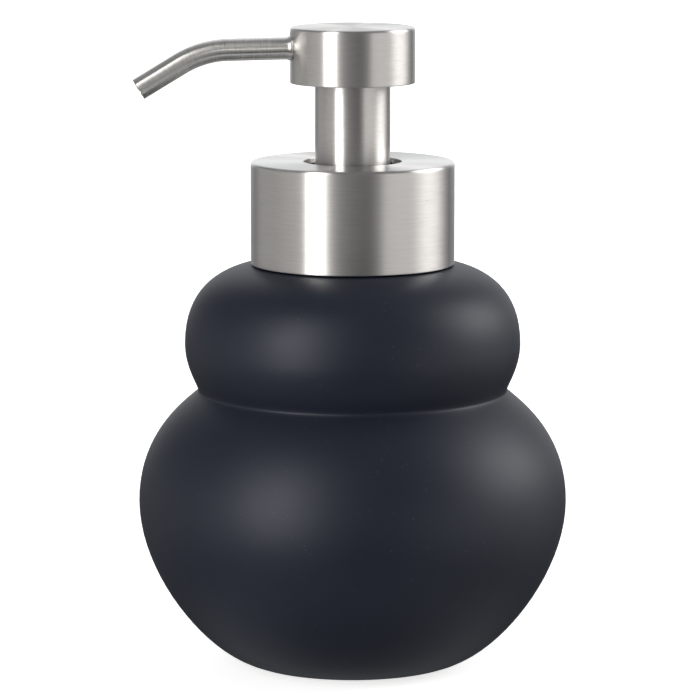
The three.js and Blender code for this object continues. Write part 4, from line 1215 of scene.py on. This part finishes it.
# %% The spout's centre line
SPOUT_DROOP = math.radians(0.75)
SPOUT_BEND = math.radians(30)
SPOUT_BEND_R = 24.7
BEND_START_X = 31.8
TIP_L = 12.2
spout_high = np.array(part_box("spout_tube")[1]) / MM
spout_r = spout_high[1]
spout_start = np.array([spout_high[0], spout_high[2] - spout_r * math.cos(SPOUT_DROOP)])
first_run = (BEND_START_X + spout_start[0]) / math.cos(SPOUT_DROOP)
spout_length = first_run + SPOUT_BEND_R * SPOUT_BEND + TIP_L
STEP = 0.02
distance = np.arange(0, spout_length + STEP, STEP)
heading = SPOUT_DROOP + np.clip((distance - first_run) / SPOUT_BEND_R, 0, SPOUT_BEND)
line_x = spout_start[0] - np.concatenate([[0], np.cumsum(np.cos(heading[:-1]) * STEP)])
line_z = spout_start[1] - np.concatenate([[0], np.cumsum(np.sin(heading[:-1]) * STEP)])


def bent(points):
    """A point at height s, with offsets b and a across the straight tube, goes to the line's
    point at distance s, plus b along the bend's upward normal and a across the bend's plane."""
    offset_b, offset_a, s = (points[..., i] / MM for i in range(3))
    turn_at = np.interp(s, distance, heading)
    x = np.interp(s, distance, line_x) - offset_b * np.sin(turn_at)
    z = np.interp(s, distance, line_z) + offset_b * np.cos(turn_at)
    return np.stack([x, offset_a, z], -1) * MM


print(f"spout: {spout_length:.1f} mm along its line, tip at x = {line_x[-1]:.2f} mm")

# %% [markdown]
# The spout's wall and lining are both straight rings first. They are cut into short rows, so
# that the bend comes out smooth, and the lining stops short of the tip as a real hose does.

# %% Model the spout and its lining
SPOUT_WALL = 0.5
LINING_R = (1.75, 2.25)
LINING_SETBACK = 2.0
WELD_H = 0.32
WELD_W = 0.55
TOUCH = 0.01  # a point this near the outside counts as on it
head_r = reach("head_shell")[0]
WELD_OUT = 0.15  # from the head's side to the middle of the bead
weld_at = (head_r + spout_start[0]) / math.cos(SPOUT_DROOP) + WELD_OUT


def weld(angle, radius, height):
    """A smooth ring of bead on the tube's outside, highest where it meets the head."""
    bead = np.clip(1 - ((height - weld_at) / WELD_W) ** 2, 0, 1) ** 0.5
    return WELD_H * bead * (radius > spout_r - TOUCH)


spout_section = ring_section(spout_r - SPOUT_WALL, spout_r, 0, spout_length, 0.12)
spout_points, spout_along = turned_points(split_long(spout_section, 0.35), 64, weld)
fit(surface("spout_pipe", bent(spout_points), spout_along), "spout_tube")
lining_end = spout_length - LINING_SETBACK
lining_section = ring_section(*LINING_R, 0, lining_end, 0.08)
lining_points, lining_along = turned_points(split_long(lining_section, 0.8), 40)
fit(surface("spout_lining", bent(lining_points), lining_along), "spout_liner")

# %% [markdown]
# ## Head
# The head is a solid-looking steel button: a drawn steel cap over a plastic block. The block
# grips the stem's top from below and holds the inner end of the spout. Both are drilled through
# for the tube, along the same slightly drooping line.

# %% Model the head
_, head_low, head_top = reach("head_shell")
HEAD_T = 0.8
block_r, block_low, block_top = reach("head_core")
SKIN_SOCKET_R = sleeve_r + 0.1
STEM_SOCKET_R = stem_r + 0.1
CHANNEL_TOP = 161.5
CHANNEL_END = 2.65  # how near to the axis the spout's hole in the block begins
SPOUT_GAP = 0.1
GROOVE_R = (11.2, 13.6)  # a moulded groove in the block's underside
GROOVE_SLOPE = 0.2
GROOVE_DEPTH = 0.8
DRILL_PAST = 3.0


def spout_drill(from_x):
    """A drill along the spout's first straight run, past the head's side."""
    fall = math.tan(SPOUT_DROOP)
    start = (-from_x, 0, spout_start[1] - (from_x + spout_start[0]) * fall)
    end_x = head_r + DRILL_PAST
    end = (-end_x, 0, spout_start[1] - (end_x + spout_start[0]) * fall)
    return drill(spout_r + SPOUT_GAP, start, end)


cap_corners = [
    [0, head_top - HEAD_T], [head_r - HEAD_T, head_top - HEAD_T], [head_r - HEAD_T, head_low],
    [head_r, head_low], [head_r, head_top], [0, head_top],
]
cap_section = split_long(rounded(cap_corners, [0, 0.2, 0.12, 0.25, 0.8, 0], 6), 2.0)
cap = drilled(turned("head_cap", cap_section, 160), [spout_drill(head_r / 2)])
fit(cap, "head_shell")

block_corners = [
    [0, CHANNEL_TOP], [UPPER_BORE_R, CHANNEL_TOP], [UPPER_BORE_R, stem_top],
    [STEM_SOCKET_R, stem_top], [STEM_SOCKET_R, sleeve_top], [SKIN_SOCKET_R, sleeve_top],
    [SKIN_SOCKET_R, block_low], [GROOVE_R[0], block_low],
    [GROOVE_R[0] + GROOVE_SLOPE, block_low + GROOVE_DEPTH],
    [GROOVE_R[1] - GROOVE_SLOPE, block_low + GROOVE_DEPTH], [GROOVE_R[1], block_low],
    [block_r, block_low], [block_r, block_top], [0, block_top],
]
block = turned("head_block", rounded(block_corners, 0.15), 96)
fit(drilled(block, [spout_drill(CHANNEL_END)]), "head_core")

# %% [markdown]
# ## The solids' box
# The finished pieces are meant to stay within the solids: each piece's distance from its solid's
# box is printed as it is fitted, and here the box round all the solids is printed, in millimetres.

# %% Print the solids' box
print("solids", np.round(np.array(CAD_BOX) / MM, 2).tolist())
